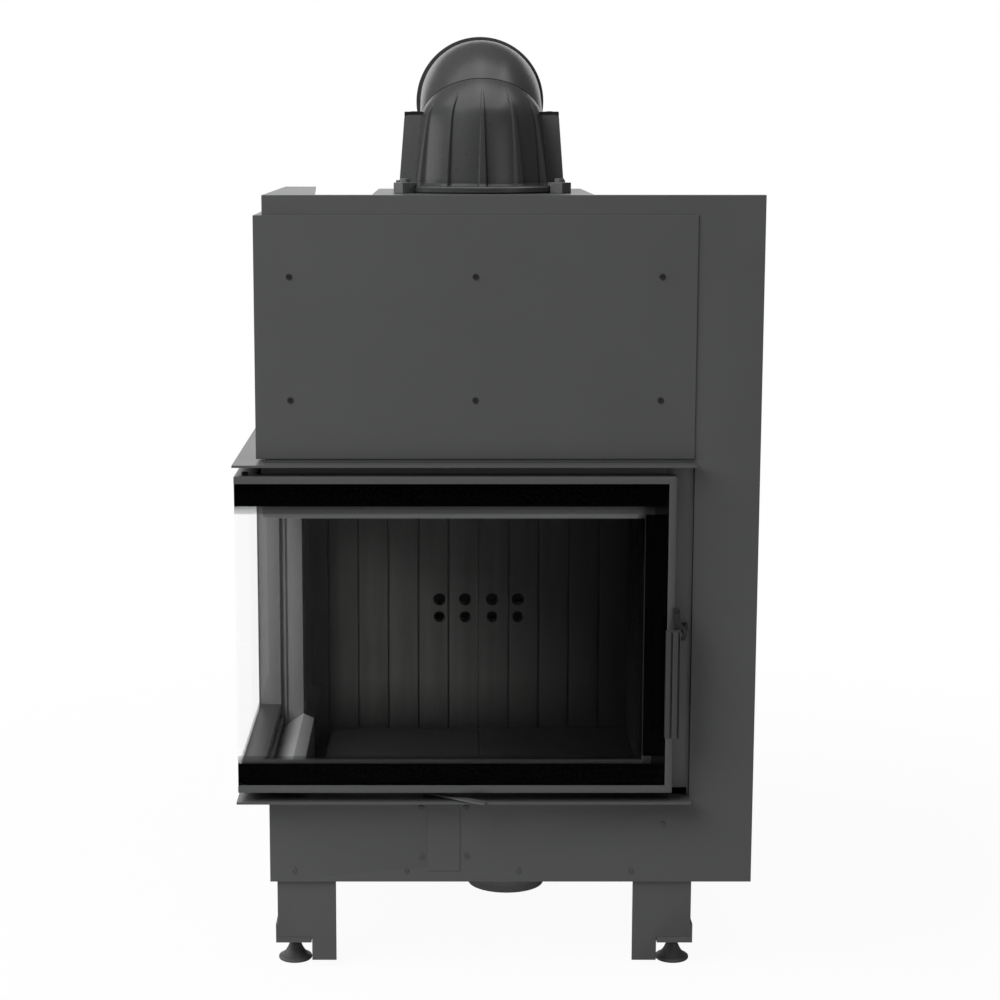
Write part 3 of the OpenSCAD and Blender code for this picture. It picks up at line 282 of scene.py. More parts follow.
def board_group():
    """Pressed fire-resistant board: upright streaks, fine grit and a haze of soot, with painted
    shade that deepens towards the right from Unshaded to Black, both in metres along X, and painted
    shade that deepens down to Foot over the 85 mm above it."""
    group, wires, given, out = new_group("Pressed board", [
        ("Vector", "Vector"), ("Color", "Board", PLAIN), ("Float", "Relief", 0.3),
        ("Float", "Clean", -0.01), ("Float", "Black", 0.25), ("Float", "Foot", -1.0)], SKIN)
    stretched = wires.add("Mapping", {"Vector": given["Vector"], "Scale": (60.0, 60.0, 3.0)})
    streaks = wires.noise(stretched.outputs[0], 1.0, detail=4.0, rough=0.6)
    grit = wires.noise(given["Vector"], 700.0, detail=3.0, rough=0.7)
    haze = wires.noise(given["Vector"], 4.5, detail=3.0, rough=0.5)
    place_at = wires.add("SeparateXYZ", {0: given["Vector"]}).outputs
    # Painted shade near the floor: the colour falls to 0.12 of itself at Foot and below.
    above = wires.math("SUBTRACT", place_at[2], given["Foot"])
    rise = wires.ramp(above, 0.0, 0.085, 0.12, 1.0)
    # Painted shade towards the right, from Unshaded to Black; the haze wobbles its edge.
    along = wires.math("MULTIPLY_ADD", haze, 0.08, place_at[0])
    soot_and_shade = wires.ramp(along, given["Clean"], given["Black"], 1.0, 0.02)
    worn = wires.math("MULTIPLY", wires.ramp(streaks, 0.3, 0.7, 0.82, 1.14),
                      wires.ramp(haze, 0.3, 0.75, 0.8, 1.15))
    # Both painted shades times the random wear.
    painted_shade_and_wear = wires.math("MULTIPLY", wires.math("MULTIPLY", soot_and_shade, rise), worn)
    wires.give(out, {
        "Color": wires.tone(given["Board"], painted_shade_and_wear),
        "Roughness": wires.ramp(grit, 0.2, 0.8, 0.72, 0.95),
        "Normal": wires.bump(given["Relief"], 0.0006, grit)})
    return group


def dot_screen_group():
    """Black print that ends in rows of dots: solid where V is below 0, then staggered round
    dots that shrink with V. U runs along the edge and V away from it, in metres."""
    group, wires, given, out = new_group(
        "Dot screen", [("Vector", "UV"), ("Float", "Pitch"), ("Float", "Dots")],
        [("Float", "Mask")])
    math, pitch = wires.math, given["Pitch"]
    parts = wires.add("SeparateXYZ", {0: given["UV"]}).outputs
    far = parts[1]
    half = math("MULTIPLY", pitch, 0.5)
    row = math("FLOOR", math("DIVIDE", far, half))
    odd = math("MODULO", math("ABSOLUTE", row), 2.0)
    shifted = math("MULTIPLY_ADD", odd, half, parts[0])
    along = math("SUBTRACT", math("FLOORED_MODULO", shifted, pitch), half)
    across = math("SUBTRACT", math("FLOORED_MODULO", far, half), math("MULTIPLY", half, 0.5))
    reach = math("SQRT", math("ADD", math("MULTIPLY", along, along),
                              math("MULTIPLY", across, across)))
    share = math("DIVIDE", far, given["Dots"])
    radius = math("MULTIPLY", pitch, wires.ramp(share, 0.0, 1.0, 0.38, 0.22))
    dots = math("MULTIPLY", math("LESS_THAN", reach, radius), math("LESS_THAN", share, 1.0))
    wires.give(out, {"Mask": math("MAXIMUM", math("LESS_THAN", far, 0.0), dots)})
    return group


GROUP_MAKERS = {"paint": paint_grain_group, "cast": cast_skin_group, "board": board_group,
                "dots": dot_screen_group}


@cache
def shared(name):
    """The shader groups, each made once."""
    return GROUP_MAKERS[name]()


# Materials


def material(title, **values):
    """A Principled material: its own values on the shader's sockets."""
    made = bpy.data.materials.new(title)
    made.use_nodes = True
    shader = made.node_tree.nodes["Principled BSDF"]
    for key, value in values.items():
        shader.inputs[key.replace("_", " ")].default_value = value
    return made, shader, Wires(made.node_tree)


def skin(title, group, inputs, **values):
    """A material whose colour, roughness and normal come from a shared group."""
    made, shader, wires = material(title, **values)
    place_at = wires.add("TexCoord").outputs["Object"]
    node = wires.add("Group", {"Vector": place_at, **inputs}, node_tree=shared(group))
    wires.give(shader.inputs, {
        "Base Color": node.outputs["Color"], "Roughness": node.outputs["Roughness"],
        "Normal": node.outputs["Normal"]})
    return made


def opaque(tint):
    return (*tint[:3], 1.0)


def painted(title, tint, roughness, relief, mottle=0.08, grain=1400.0, **values):
    return skin(title, "paint", {
        "Paint": opaque(tint), "Roughness": roughness, "Relief": relief, "Mottle": mottle,
        "Grain": grain}, **values)


def cast(title, tint, roughness, relief):
    return skin(title, "cast", {
        "Paint": opaque(tint), "Roughness": roughness, "Relief": relief})


def casing_paint():
    return painted("Casing paint", settings("casing").paint, 0.36, 0.10, 0.10)


# Painted light: a pale copy of the stove paint for the opening frame.
def frame_lit_paint():
    return painted("Frame paint", settings("casing").frame_lit_paint, 0.5, 0.10, 0.12)


def door_paint():
    return painted("Door paint", settings("casing").paint, 0.42, 0.08, 0.10)


def handle_paint():
    return painted("Handle paint", (0.031, 0.0313, 0.032), 0.36, 0.04, grain=2200.0,
                   Metallic=0.25)


def firebox_paint():
    return painted("Firebox steel", settings("firebox").soot_and_shade, 0.62, 0.2, 0.3)


def clip_steel():
    return painted("Clip steel", (0.007, 0.007, 0.007), 0.55, 0.05, grain=2600.0,
                   Specular_IOR_Level=0.3)


# Painted light: a pale copy of the stove paint for the lit plate beside the hearth.
def side_plate_lit_paint():
    return painted("Side plate paint", (0.145, 0.145, 0.147), 0.55, 0.10, 0.12)


# Painted light: a paler copy of the stove paint for the lit hinge post and the door's rear stile.
def inner_stile_lit_paint():
    return painted("Inner frame paint", (0.107, 0.107, 0.108), 0.5, 0.10, 0.10)


# Painted shade: a darker copy of the door paint for the door's lower side rail.
def side_rail_shade_paint():
    return painted("Side rail paint", (0.024, 0.0242, 0.0245), 0.5, 0.10, 0.10)


# Painted shade: a darker copy of the frame's pale paint, for the jamb's rebate.
def jamb_shade_paint():
    return painted("Jamb paint", (0.098, 0.098, 0.099), 0.5, 0.10, 0.12)


def fastener_steel():
    return painted("Blackened steel", (0.016, 0.016, 0.017), 0.42, 0.05, grain=2600.0,
                   Metallic=0.4)


# Painted light: a pale copy of the casing paint for the spigot, which sits in the casing's shade.
def spigot_lit_paint():
    return painted("Spigot paint", (0.23, 0.23, 0.232), 0.42, 0.06)


def casting_paint():
    return cast("Casting paint", settings("elbow").paint, 0.30, 0.04)


# Painted light: a paler copy of the casting paint for the ears and flange clamps.
def ear_lit_paint():
    return cast("Ear paint", (0.046, 0.0465, 0.0475), 0.4, 0.10)


def foot_rubber():
    return cast("Foot moulding", (0.050, 0.050, 0.050), 0.45, 0.08)


def lining_board():
    # Foot is the top of the floor boards, where the painted shade near the floor is deepest.
    return skin("Lining board", "board", {
        "Board": opaque(settings("firebox").board), "Foot": box_of("lining_floor_left")[1][2]})


def hearth_board():
    # The group's painted shade towards the right lies on the hearth too.
    return skin("Hearth board", "board", {"Board": (0.010, 0.0098, 0.0095, 1)})


def shade_black_board():
    """A near-black board for the right lining and three firebox plates, painted shade for the unlit
    right of the firebox. Unshaded and Black lie past the right wall, so that the whole board has
    the same black.
    """
    return skin("Sooty board", "board", {"Board": (0.006, 0.006, 0.006, 1), "Clean": 5.0,
                                         "Black": 6.0}, Specular_IOR_Level=0.0)


def pane_glass():
    return material(
        "Ceramic glass", Base_Color=(0.985, 0.99, 0.985, 1), Roughness=0.02, IOR=1.5,
        Transmission_Weight=1.0, Alpha=settings("glass").tint)[0]


# Black of the glass clips, also used as painted shade on the air holes' walls and the jamb's inner
# faces.
def sealing_strip_and_shade():
    made, shader, wires = material("Sealing strip", Base_Color=(0.004, 0.004, 0.004, 1),
                                   Specular_IOR_Level=0.2)
    grit = wires.noise(wires.add("TexCoord").outputs["Object"], 900.0)
    wires.give(shader.inputs, {"Roughness": wires.ramp(grit, 0.3, 0.7, 0.6, 0.8)})
    return made


def glass_print():
    """Black print whose Alpha is the dot screen over the strip's own UV map."""
    values = settings("glass")
    made, shader, wires = material("Black print", Base_Color=(0.0005, 0.0005, 0.0005, 1),
                                   Roughness=0.8, Specular_IOR_Level=0.0)
    strip = wires.add("UVMap", uv_map="print").outputs[0]
    node = wires.add("Group", {"UV": strip, "Pitch": values.pitch, "Dots": values.dots},
                     node_tree=shared("dots"))
    wires.give(shader.inputs, {"Alpha": node.outputs["Mask"]})
    return made


def rope_fibre():
    """Knitted glass-fibre rope: crossed yarns over the strip's own UV map."""
    made, shader, wires = material("Rope fibre", Roughness=0.9)
    strip = wires.add("UVMap", uv_map="weave").outputs[0]
    yarns = wires.add(
        "TexWave", {"Vector": strip, "Scale": 1.0, "Distortion": 0.6, "Detail": 2.0},
        bands_direction="DIAGONAL").outputs["Fac"]
    tint = wires.add("Mix", {"Factor": yarns, "A": (0.018, 0.018, 0.016, 1),
                             "B": (0.085, 0.082, 0.075, 1)}, data_type="RGBA")
    wires.give(shader.inputs, {"Base Color": tint.outputs["Result"],
                               "Normal": wires.bump(0.6, 0.0008, yarns)})
    return made


FINISH_MAKERS = {
    "casing": casing_paint, "frame_steel": frame_lit_paint, "firebox_steel": firebox_paint,
    "lining": lining_board, "cast_iron": casting_paint, "fasteners": fastener_steel,
    "door_steel": door_paint, "glass": pane_glass, "glass_print": sealing_strip_and_shade,
    "print": glass_print, "clip": clip_steel, "side_plate": side_plate_lit_paint,
    "inner_stile": inner_stile_lit_paint, "jamb": jamb_shade_paint, "ear": ear_lit_paint,
    "side_rail": side_rail_shade_paint, "hearth": hearth_board, "shade_black": shade_black_board,
    "spigot": spigot_lit_paint, "rope": rope_fibre, "handle": handle_paint, "foot": foot_rubber,
}


@cache
def finish(name):
    """The finished materials, each made once."""
    return FINISH_MAKERS[name]()


# Surfaces


@contextmanager
def editing(mesh):
    """The mesh as a bmesh, which is written back at the end."""
    edit = bmesh.new()
    edit.from_mesh(mesh)
    yield edit
    edit.to_mesh(mesh)
    edit.free()


def grid_faces(rows, columns, wrap=False):
    """Quads between the points of a grid, closed across its columns if wrap."""
    row, column = np.meshgrid(np.arange(rows - 1), np.arange(columns - (not wrap)),
                              indexing="ij")
    after = (column + 1) % columns
    return np.stack([row * columns + column, row * columns + after, (row + 1) * columns + after,
                     (row + 1) * columns + column], -1).reshape(-1, 4)


def outward(points, faces):
    """The same faces, turned over if the volume that they enclose comes out negative: the
    sum over all faces of the corner triple products, six times the volume."""
    first = points[faces[:, 0]]
    volume = sum(
        np.einsum("ij,ij->", first, np.cross(points[faces[:, k]], points[faces[:, k + 1]]))
        for k in range(1, faces.shape[1] - 1))
    return faces if volume > 0 else faces[:, ::-1]


def skin_over(rings, wrap=True):
    """The points of a stack of rings and the quads between them, facing out. Wrap closes
    each ring."""
    points = rings.reshape(-1, 3)
    return points, outward(points, grid_faces(*rings.shape[:2], wrap))


def lathe(profile, centre, axis=Z, sides=64):
    """A closed profile of radius and height, turned round an axis through centre:
    point = centre + radius * (side * cos + front * sin) + height * axis."""
    profile = np.asarray(profile, float)
    axis = np.asarray(axis, float)
    side = np.cross(axis, Y if abs(axis[1]) < 0.9 else X)
    side /= np.linalg.norm(side)
    front = np.cross(axis, side)
    turn = np.linspace(0, 2 * np.pi, sides, endpoint=False)
    ring = np.cos(turn)[:, None] * side + np.sin(turn)[:, None] * front
    loop = np.vstack([profile, profile[:1]])
    return skin_over(np.asarray(centre) + loop[:, None, :1] * ring[None]
                     + loop[:, None, 1:] * axis)


def run_faces(outline, first, second, along):
    """Faces of a flat outline in the directions first and second that is carried along: quads
    for the side walls and one face for each end. The sign of the outline's area, summed from
    the cross products of neighbouring corners, turns them outwards."""
    after = np.roll(outline, -1, 0)
    area = np.sum(outline[:, 0] * after[:, 1] - after[:, 0] * outline[:, 1])
    low = np.arange(len(outline))
    ahead = np.roll(low, -1)
    walls = np.stack([low, ahead, ahead + len(low), low + len(low)], -1)
    faces = [*walls, low[::-1], low + len(low)]
    outside = area * np.dot(np.cross(first, second), along) > 0
    return faces if outside else [face[::-1] for face in faces]


def prism(outline, origin, across, up, along):
    """A flat outline in the directions across and up, carried along a straight path."""
    outline = np.asarray(outline, float)
    base = np.asarray(origin) + outline[:, :1] * across + outline[:, 1:] * up
    return np.vstack([base, base + along]), run_faces(outline, across, up, along)


def mitred(profile, start, end, along, up, inward, cut_start, cut_end):
    """A profile of height and depth carried from start to end. Each end is cut so that the
    run grows or shrinks by the cut times the profile's height or depth."""
    flat = profile[:, :1] * up + profile[:, 1:] * inward
    near = start + flat + (profile @ np.asarray(cut_start))[:, None] * along
    far = end + flat - (profile @ np.asarray(cut_end))[:, None] * along
    return np.vstack([near, far]), run_faces(profile, up, inward, along)


def rounded(outline, radius, steps=4):
    """The outline with each corner replaced by steps + 1 points of a quadratic curve, whose
    control points lie radius before the corner, on it, and radius after it, or nearer on a
    short side."""
    outline = np.asarray(outline, float)
    most = 0.45
    ends = []
    for shift in (1, -1):
        side = np.roll(outline, shift, 0) - outline
        long = np.linalg.norm(side, axis=1)[:, None]
        ends.append((outline + side / long * np.minimum(radius, long * most))[:, None])
    way = np.linspace(0, 1, steps + 1)[None, :, None]
    curve = (ends[0] * (1 - way) ** 2 + outline[:, None] * 2 * way * (1 - way)
             + ends[1] * way ** 2)
    return curve.reshape(-1, 2)


def piece(name, parts, body, slot, finish_name=None, nodes=(), smooth=40.0, uv=None):
    """One object from several surfaces. Coinciding points are merged, and edges flatter than
    smooth degrees are shaded round."""
    points, faces, start = [], [], 0
    for part_points, part_faces in parts:
        points.append(np.asarray(part_points, float))
        faces.extend([int(index) + start for index in face] for face in part_faces)
        start += len(part_points)
    mesh = bpy.data.meshes.new(name)
    mesh.from_pydata(np.vstack(points), [], faces)
    if uv is not None:
        layer = mesh.uv_layers.new(name=uv[0])
        corner = np.empty(len(mesh.loops), np.int32)
        mesh.loops.foreach_get("vertex_index", corner)
        layer.data.foreach_set("uv", np.asarray(uv[1], np.float32)[corner].ravel())
    else:
        with editing(mesh) as edit:
            bmesh.ops.remove_doubles(edit, verts=edit.verts, dist=WELD)
            bmesh.ops.dissolve_degenerate(edit, edges=edit.edges, dist=SLIVER)
    return place(name, mesh, body, finish_name or slot, nodes, smooth)


def place(name, mesh, body, finish_name, nodes, smooth):
    """The mesh as an object that rides on its body, with its finish."""
    made = bpy.data.objects.new(name, mesh)
    bpy.context.scene.collection.objects.link(made)
    mesh.materials.clear()
    mesh.materials.append(finish(finish_name))
    mesh.shade_smooth()
    mesh.set_sharp_from_angle(angle=np.radians(smooth))
    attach(made, body)
    if nodes:
        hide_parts(*nodes)
    return made


def body_of(node):
    return frame["nodes"][node]["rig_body"]


def slot_of(node):
    rows = frame["record"]["subparts"]
    return next(row["material_slot"] for row in rows if row["node"] == node)


def bevelled_copy(node, width, finish_name=None):
    """A merged copy of a CAD node with its flat faces made whole and its sharp edges broken
    by two narrow facets."""
    mesh = frame["nodes"][node].data.copy()
    mesh.name = node + "_rounded"
    with editing(mesh) as edit:
        bmesh.ops.remove_doubles(edit, verts=edit.verts, dist=WELD)
        bmesh.ops.dissolve_limit(edit, angle_limit=FLAT, verts=edit.verts, edges=edit.edges)
        sharp = [edge for edge in edit.edges
                 if edge.is_manifold and edge.calc_face_angle(0.0) > SHARP]
        bmesh.ops.bevel(edit, geom=sharp, offset=width, offset_type="OFFSET", segments=2,
                        profile=0.5, affect="EDGES", clamp_overlap=True)
    return place(node + "_rounded", mesh, body_of(node),
                 finish_name or slot_of(node), (node,), 20.0)


def dress(node, finish_name=None):
    """A better material on a CAD node that stays in view."""
    mesh = frame["nodes"][node].data
    mesh.materials.clear()
    mesh.materials.append(finish(finish_name or slot_of(node)))


def box_of(node):
    low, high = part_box(node)
    return np.array(low), np.array(high)


# Casing


class BuildCasing(bpy.types.Operator):
    """Sheet casing, shelf, sill, panels and legs with rounded sheet edges"""

    bl_idname = "insert.build_casing"
    bl_label = "Build casing"

    def execute(self, context):
        edge = settings("casing").edge
        for node in ("front_fascia", "left_side_panel", "right_side_panel", "rear_panel",
                     "bottom_panel", "top_panel", "top_left_flange", "flue_plate",
                     "upper_front_panel", "service_cover", "shelf", "sill", "foot_brackets",
                     "front_left_leg", "front_right_leg", "rear_left_leg", "rear_right_leg"):
            made = bevelled_copy(node, edge)
            if node == "upper_front_panel":
                self.lift_foot(made)
        return {"FINISHED"}

    def lift_foot(self, made):
        """The upper panel stops a little above the shelf, which leaves a dark gap."""
        foot, edge, gap = box_of("upper_front_panel")[0][2], 2.5 * MM, 1.8 * MM
        for vertex in made.data.vertices:
            if vertex.co.z < foot + edge:
                vertex.co.z += gap


class BuildOpening(bpy.types.Operator):
    """Opening frame, hinge post and the bent plate beside the hearth"""

    bl_idname = "insert.build_opening"
    bl_label = "Build opening frame"

    def execute(self, context):
        fold = settings("casing").fold
        self.post()
        # The bent plate takes the side plate's painted light.
        bevelled_copy("side_sill", fold, "side_plate")
        self.paint_jamb_shade(bevelled_copy("opening_frame", fold))
        for node in ("upper_hinge", "lower_hinge", "latch_keeper"):
            bevelled_copy(node, settings("casing").edge)
        return {"FINISHED"}

    def post(self):
        """Hinge post: a square tube with two narrow grooves down its front face."""
        low, high = box_of("hinge_post")
        wide, deep, tall = high - low
        groove, corner = 3.2 * MM, 0.4 * MM
        outline = [(0, 0)]
        for start, end in ((3.8 * MM, 7.2 * MM), (10.4 * MM, 14.0 * MM)):
            outline += [(start, 0), (start, groove), (end, groove), (end, 0)]
        outline += [(wide, 0), (wide, deep), (0, deep)]
        # The post takes the inner stile's painted light.
        piece("hinge_post_grooved", [prism(rounded(outline, corner, 2), low, X, Y, Z * tall)],
              "insert", "frame_steel", "inner_stile", nodes=("hinge_post",), smooth=25.0)

    def paint_jamb_shade(self, made):
        """The right jamb is painted darker than the lintel, painted shade of its rebate, so its
        faces take a second material, and those that face the opening a black one, painted shade
        too."""
        jamb_width = 40 * MM
        edge = box_of("opening_frame")[1][0] - jamb_width
        with editing(made.data) as edit:
            bmesh.ops.bisect_plane(edit, geom=edit.verts[:] + edit.edges[:] + edit.faces[:],
                                   plane_co=(edge, 0, 0), plane_no=X)
        for look in ("jamb", "glass_print"):
            made.data.materials.append(finish(look))
        for face in made.data.polygons:
            inner = face.normal.x < -0.25
            face.material_index = (2 if inner else 1) if face.center.x > edge else 0


# Firebox


class BuildFirebox(bpy.types.Operator):
    """Lining boards with rounded grooves, and the welded plates round them"""

    bl_idname = "insert.build_firebox"
    bl_label = "Build firebox"

    def execute(self, context):
        for node in ("lining_back_left", "lining_back_right", "lining_right",
                     "lining_floor_left", "lining_floor_right"):
            # The right lining takes the near-black board, painted shade.
            look = {"floor": "hearth", "right": "shade_black"}.get(node.split("_")[1])
            made = bevelled_copy(node, settings("casing").fold, look)
            if "back" in node:
                self.paint_hole_shade(made)
        # The back, right and front plates take the same near-black board, painted shade.
        for node in ("firebox_back", "firebox_right", "firebox_front"):
            dress(node, "shade_black")
        for node in ("firebox_left", "firebox_floor", "firebox_roof", "smoke_collar",
                     "baffle_lower", "baffle_upper", "baffle_rests", "air_box", "air_flap"):
            dress(node)
        return {"FINISHED"}

    def paint_hole_shade(self, made):
        """The walls of the air holes take the black strip material as painted shade: every low face
        behind the board's front.
        """
        low, behind = 14 * MM, 0.9 * MM
        mesh = made.data
        mesh.materials.append(finish("glass_print"))
        front = min(vertex.co.y for vertex in mesh.vertices)
        for face in mesh.polygons:
            heights = [mesh.vertices[index].co.z for index in face.vertices]
            small = max(heights) - min(heights) < low
            face.material_index = int(small and face.center.y > front + behind)


# Flue elbow

JOINT = np.pi / 4


def smooth_step(value):
    """0 below 0, 1 above 1, and 3 t^2 - 2 t^3 between them."""
    t = np.clip(value, 0, 1)
    return t * t * (3 - 2 * t)


def elbow_point(angle, turn, radius, centre, bend):
    """A point of the bent tube: angle runs from the foot at 0 to the mouth at a right angle,
    turn is 0 on the outside of the bend, which faces front, and centre is the bend's
    middle: x = radius * sin(turn), y and z lie at bend + radius * cos(turn) from centre."""
    out = bend + radius * np.cos(turn)
    return np.stack([centre[0] + radius * np.sin(turn), centre[1] - out * np.cos(angle),
                     centre[2] + out * np.sin(angle)], -1)


def cone_turn(values, azimuth, angle):
    """Turn about the bend's middle line at which an upright plane through the cone's axis
    meets the cone: its reach from the axis is (foot - slope * bend * tan(angle)) over
    (1 + slope * tan(angle) * cos(azimuth))."""
    slope = (values.foot - values.waist) / (values.bend * np.sin(JOINT))
    climb = slope * np.tan(angle)
    reach = (values.foot - climb * values.bend) / (1 + climb * np.cos(azimuth))
    ahead = (values.bend + reach * np.cos(azimuth)) / np.cos(angle) - values.bend
    return np.arctan2(reach * np.sin(azimuth), ahead)


def cone_radius(values, turn, angle):
    """Distance from the bend's middle line to an upright cone whose sides run straight back
    behind its axis, and round on the inside of the bend: the larger root of the quadratic
    equation that puts the point on the cone."""
    slope = (values.foot - values.waist) / (values.bend * np.sin(JOINT))
    back = values.bend * (1 - np.cos(angle))
    room = values.foot - slope * values.bend * np.sin(angle)
    lean = np.cos(turn) * np.cos(angle)
    climb = slope * np.cos(turn) * np.sin(angle)
    square = np.sin(turn) ** 2 + lean ** 2 - climb ** 2
    half = room * climb - back * lean
    round_r = (np.sqrt(half ** 2 - square * (back ** 2 - room ** 2)) - half) / square
    flat_r = room / np.maximum(np.abs(np.sin(turn)) + climb, 1e-9)
    inside = values.foot + (values.waist - values.foot) * angle / JOINT
    return np.where(np.cos(turn) <= 1e-9, inside,
                    np.where(round_r * lean < back, flat_r, round_r))


def base_radius(values, turn, angle):
    """The cone, cut off by a dome that falls in to the joint: a soft smaller of the two,
    (a + b - sqrt((a - b)^2 + soft^2)) / 2, where soft shrinks to nothing at the joint."""
    share = angle / JOINT
    cone = cone_radius(values, turn, angle)
    dome = values.waist + values.dome * (1 - share)
    soft = 32 * MM * (1 - share)
    return (cone + dome - np.sqrt((cone - dome) ** 2 + soft ** 2)) / 2


def base_columns(values, share):
    """Turns round the lower casting and the rib's height at each: fine columns follow the
    edges of each rib, whose half width and height fall in a straight line to its tip. They
    reach a little past its foot, and its flank rises over a share of its half width."""
    step, pairs, fade, tip = values.rib_step, 2, 0.82, 0.35
    half_share, end_length, reach, flank = 0.14, 0.1, 1.3, 0.4
    angle = share * JOINT
    fall = 1 - (1 - tip) * np.minimum(1, share / fade)
    half = step * half_share * fall
    low = values.rib * fall * np.clip((fade - share) / end_length, 0, 1)
    across = np.concatenate([-np.linspace(reach, 0.1, 9), [0], np.linspace(0.1, reach, 9)])
    between = np.linspace(0, 1, 12)[1:-1]
    fixed, follow, high = [], [], []
    for k in range(-pairs, pairs + 1):
        fixed += list(step * k + 0 * across)
        follow += list(across)
        high += list(smooth_step((1 - np.abs(across)) / flank))
        if k < pairs:
            fixed += list(step * (k + between))
            follow += list(reach * (1 - 2 * between))
            high += list(0 * between)
    azimuth = np.array(fixed) + np.array(follow) * half
    front = cone_turn(values, azimuth, angle)
    edge = cone_turn(values, step * (pairs + 1 / 3), angle)
    way = np.linspace(0, 1, 90)
    back = edge + (2 * np.pi - edge * 2) * way
    turn = np.concatenate([front, back], 1)
    lift = np.concatenate([np.array(high) * low, 0 * back], 1)
    return turn, lift


class BuildElbow(bpy.types.Operator):
    """Two-part cast elbow with ribs, ears and their clips, base flange and clamps"""

    bl_idname = "insert.build_elbow"
    bl_label = "Build elbow"

    def execute(self, context):
        values = settings("elbow")
        low, high = box_of("elbow_base")
        mouth = box_of("elbow_outlet")[1]
        ring_y = mouth[1] - values.collar_length
        centre = np.array([(low[0] + high[0]) / 2, ring_y - values.throat_length,
                           mouth[2] - values.collar - values.bend])
        flange_high = 10 * MM
        self.ears(values, [centre[0], centre[1] - values.bend, low[2] + flange_high])
        self.lower(values, centre, low, high, low[2] + flange_high)
        self.upper(values, centre, ring_y)
        self.collar(values, centre, ring_y)
        self.clips(centre[0])
        # The clamps take the ears' painted light.
        bevelled_copy("flange_clamps", 0.8 * MM, "ear")
        return {"FINISHED"}

    def ears(self, values, origin):
        """Two upright ears that stand on the flange and run into the cone."""
        foot, top, tall, thick, cut = 124 * MM, 116 * MM, 104 * MM, 12 * MM, 3 * MM
        foot_root, top_root, corner = values.foot - 9 * MM, values.waist - 7 * MM, 2.5 * MM
        outline = rounded([(foot_root, -MM), (foot, -MM), (top, tall - cut),
                           (top - cut, tall), (top_root, tall)], corner)
        parts = [prism(outline, origin - Y * thick / 2, X * side, Z, Y * thick)
                 for side in (-1, 1)]
        # The ears take their painted light.
        piece("elbow_ears", parts, "lower_elbow", "cast_iron", "ear", smooth=28.0)

    def lower(self, values, centre, low, high, flange_top):
        """Ribbed cone with a dome on it, and a flange below its foot, which flares a little."""
        share = np.unique(np.concatenate([np.linspace(0, 1, 40), np.linspace(0.45, 0.7, 20)]))
        share = share[:, None]
        turn, lift = base_columns(values, share)
        angle = share * JOINT
        outer = elbow_point(angle, turn, base_radius(values, turn, angle) + lift, centre,
                            values.bend)
        rows, spread, flare_end = 7, 0.028, 1.3
        skirt = np.repeat(outer[:1], rows, 0)
        skirt[..., 2] = np.linspace(flange_top - MM, centre[2], rows + 1)[:-1, None]
        axis = np.array([centre[0], centre[1] - values.bend])
        flare = 1 + spread * (1 - smooth_step(np.linspace(0, flare_end, rows)))[:, None, None]
        skirt[..., :2] = axis + (skirt[..., :2] - axis) * flare
        inner_share = np.linspace(1, 0, 16)[:, None]
        inner_turn, _ = base_columns(values, inner_share)
        inner_angle = inner_share * JOINT
        inner = elbow_point(inner_angle, inner_turn, base_radius(
            values, inner_turn, inner_angle) - values.wall, centre, values.bend)
        close = inner[-1:].copy()
        close[..., 2] = flange_top - MM
        shell = skin_over(np.concatenate([skirt, outer, inner, close, skirt[:1]]))
        flange_r, bore, step = (high[0] - low[0]) / 2, values.collar - values.wall, 2 * MM
        fillet = (values.foot + 9 * MM, values.foot - 4 * MM)
        flange = lathe([(bore, low[2]), (flange_r - step, low[2]), (flange_r, low[2] + step),
                        (flange_r, flange_top - step), (flange_r - step, flange_top),
                        (fillet[0], flange_top), (fillet[1], flange_top + 0.5 * MM),
                        (bore, flange_top)], [*axis, 0], Z, 128)
        piece("elbow_lower", [shell, flange], "lower_elbow", "cast_iron",
              nodes=("elbow_base",), smooth=28.0)

    def clips(self, middle):
        """Clip over the top of each ear, with a lip down its outer edge, and its bolt."""
        low, high = box_of("elbow_bolts")
        top = high[2] - 0.6 * MM
        outer = (high[0] - low[0]) / 2 - 2.2 * MM
        cap, inner, bolt = 5.5 * MM, outer - 27 * MM, outer - 14 * MM
        outline = [(inner, top - cap), (inner, top), (outer - MM, top), (outer, top - MM),
                   (outer, top - 9 * MM), (outer - 2.4 * MM, top - 9.6 * MM),
                   (outer - 5 * MM, top - cap)]
        head = np.multiply([(0, 0), (5, 0), (5, 1), (4.3, 1.5), (0, 1.5)], MM)
        parts = []
        for side in (-1, 1):
            parts.append(prism(outline, [middle, low[1], 0], X * side, Z,
                               Y * (high[1] - low[1])))
            parts.append(lathe(head, [middle + side * bolt, (low[1] + high[1]) / 2, top - MM],
                               Z, 6))
        piece("ear_clips", parts, "lower_elbow", "fasteners", "clip", nodes=("elbow_bolts",),
              smooth=20.0)

    def upper(self, values, centre, ring_y):
        """Smooth bend whose radius eases from the joint to the throat as a power of the share
        that remains, then a straight throat and a quarter-round bell. The first ring steps in,
        which leaves a fine seam at the joint."""
        seam, step, ease, short = 0.004, 1.5 * MM, 1.7, 5.2 * MM
        first = JOINT + seam
        turn = np.linspace(-np.pi, np.pi, 192, endpoint=False)[None]
        angle = np.append(first, np.linspace(first + seam, np.pi / 2, 36))[:, None]
        share = (angle - JOINT) / JOINT
        radius = values.throat + (values.waist - values.throat) * (1 - share) ** ease
        radius[0] -= step
        outer = elbow_point(angle, turn, radius + 0 * turn, centre, values.bend)
        inner = elbow_point(angle[::-1], turn, radius[::-1] - values.wall + 0 * turn, centre,
                            values.bend)
        bell = values.collar - short - values.throat
        round_at = np.linspace(0, np.pi / 2, 14)
        middle = values.throat + bell

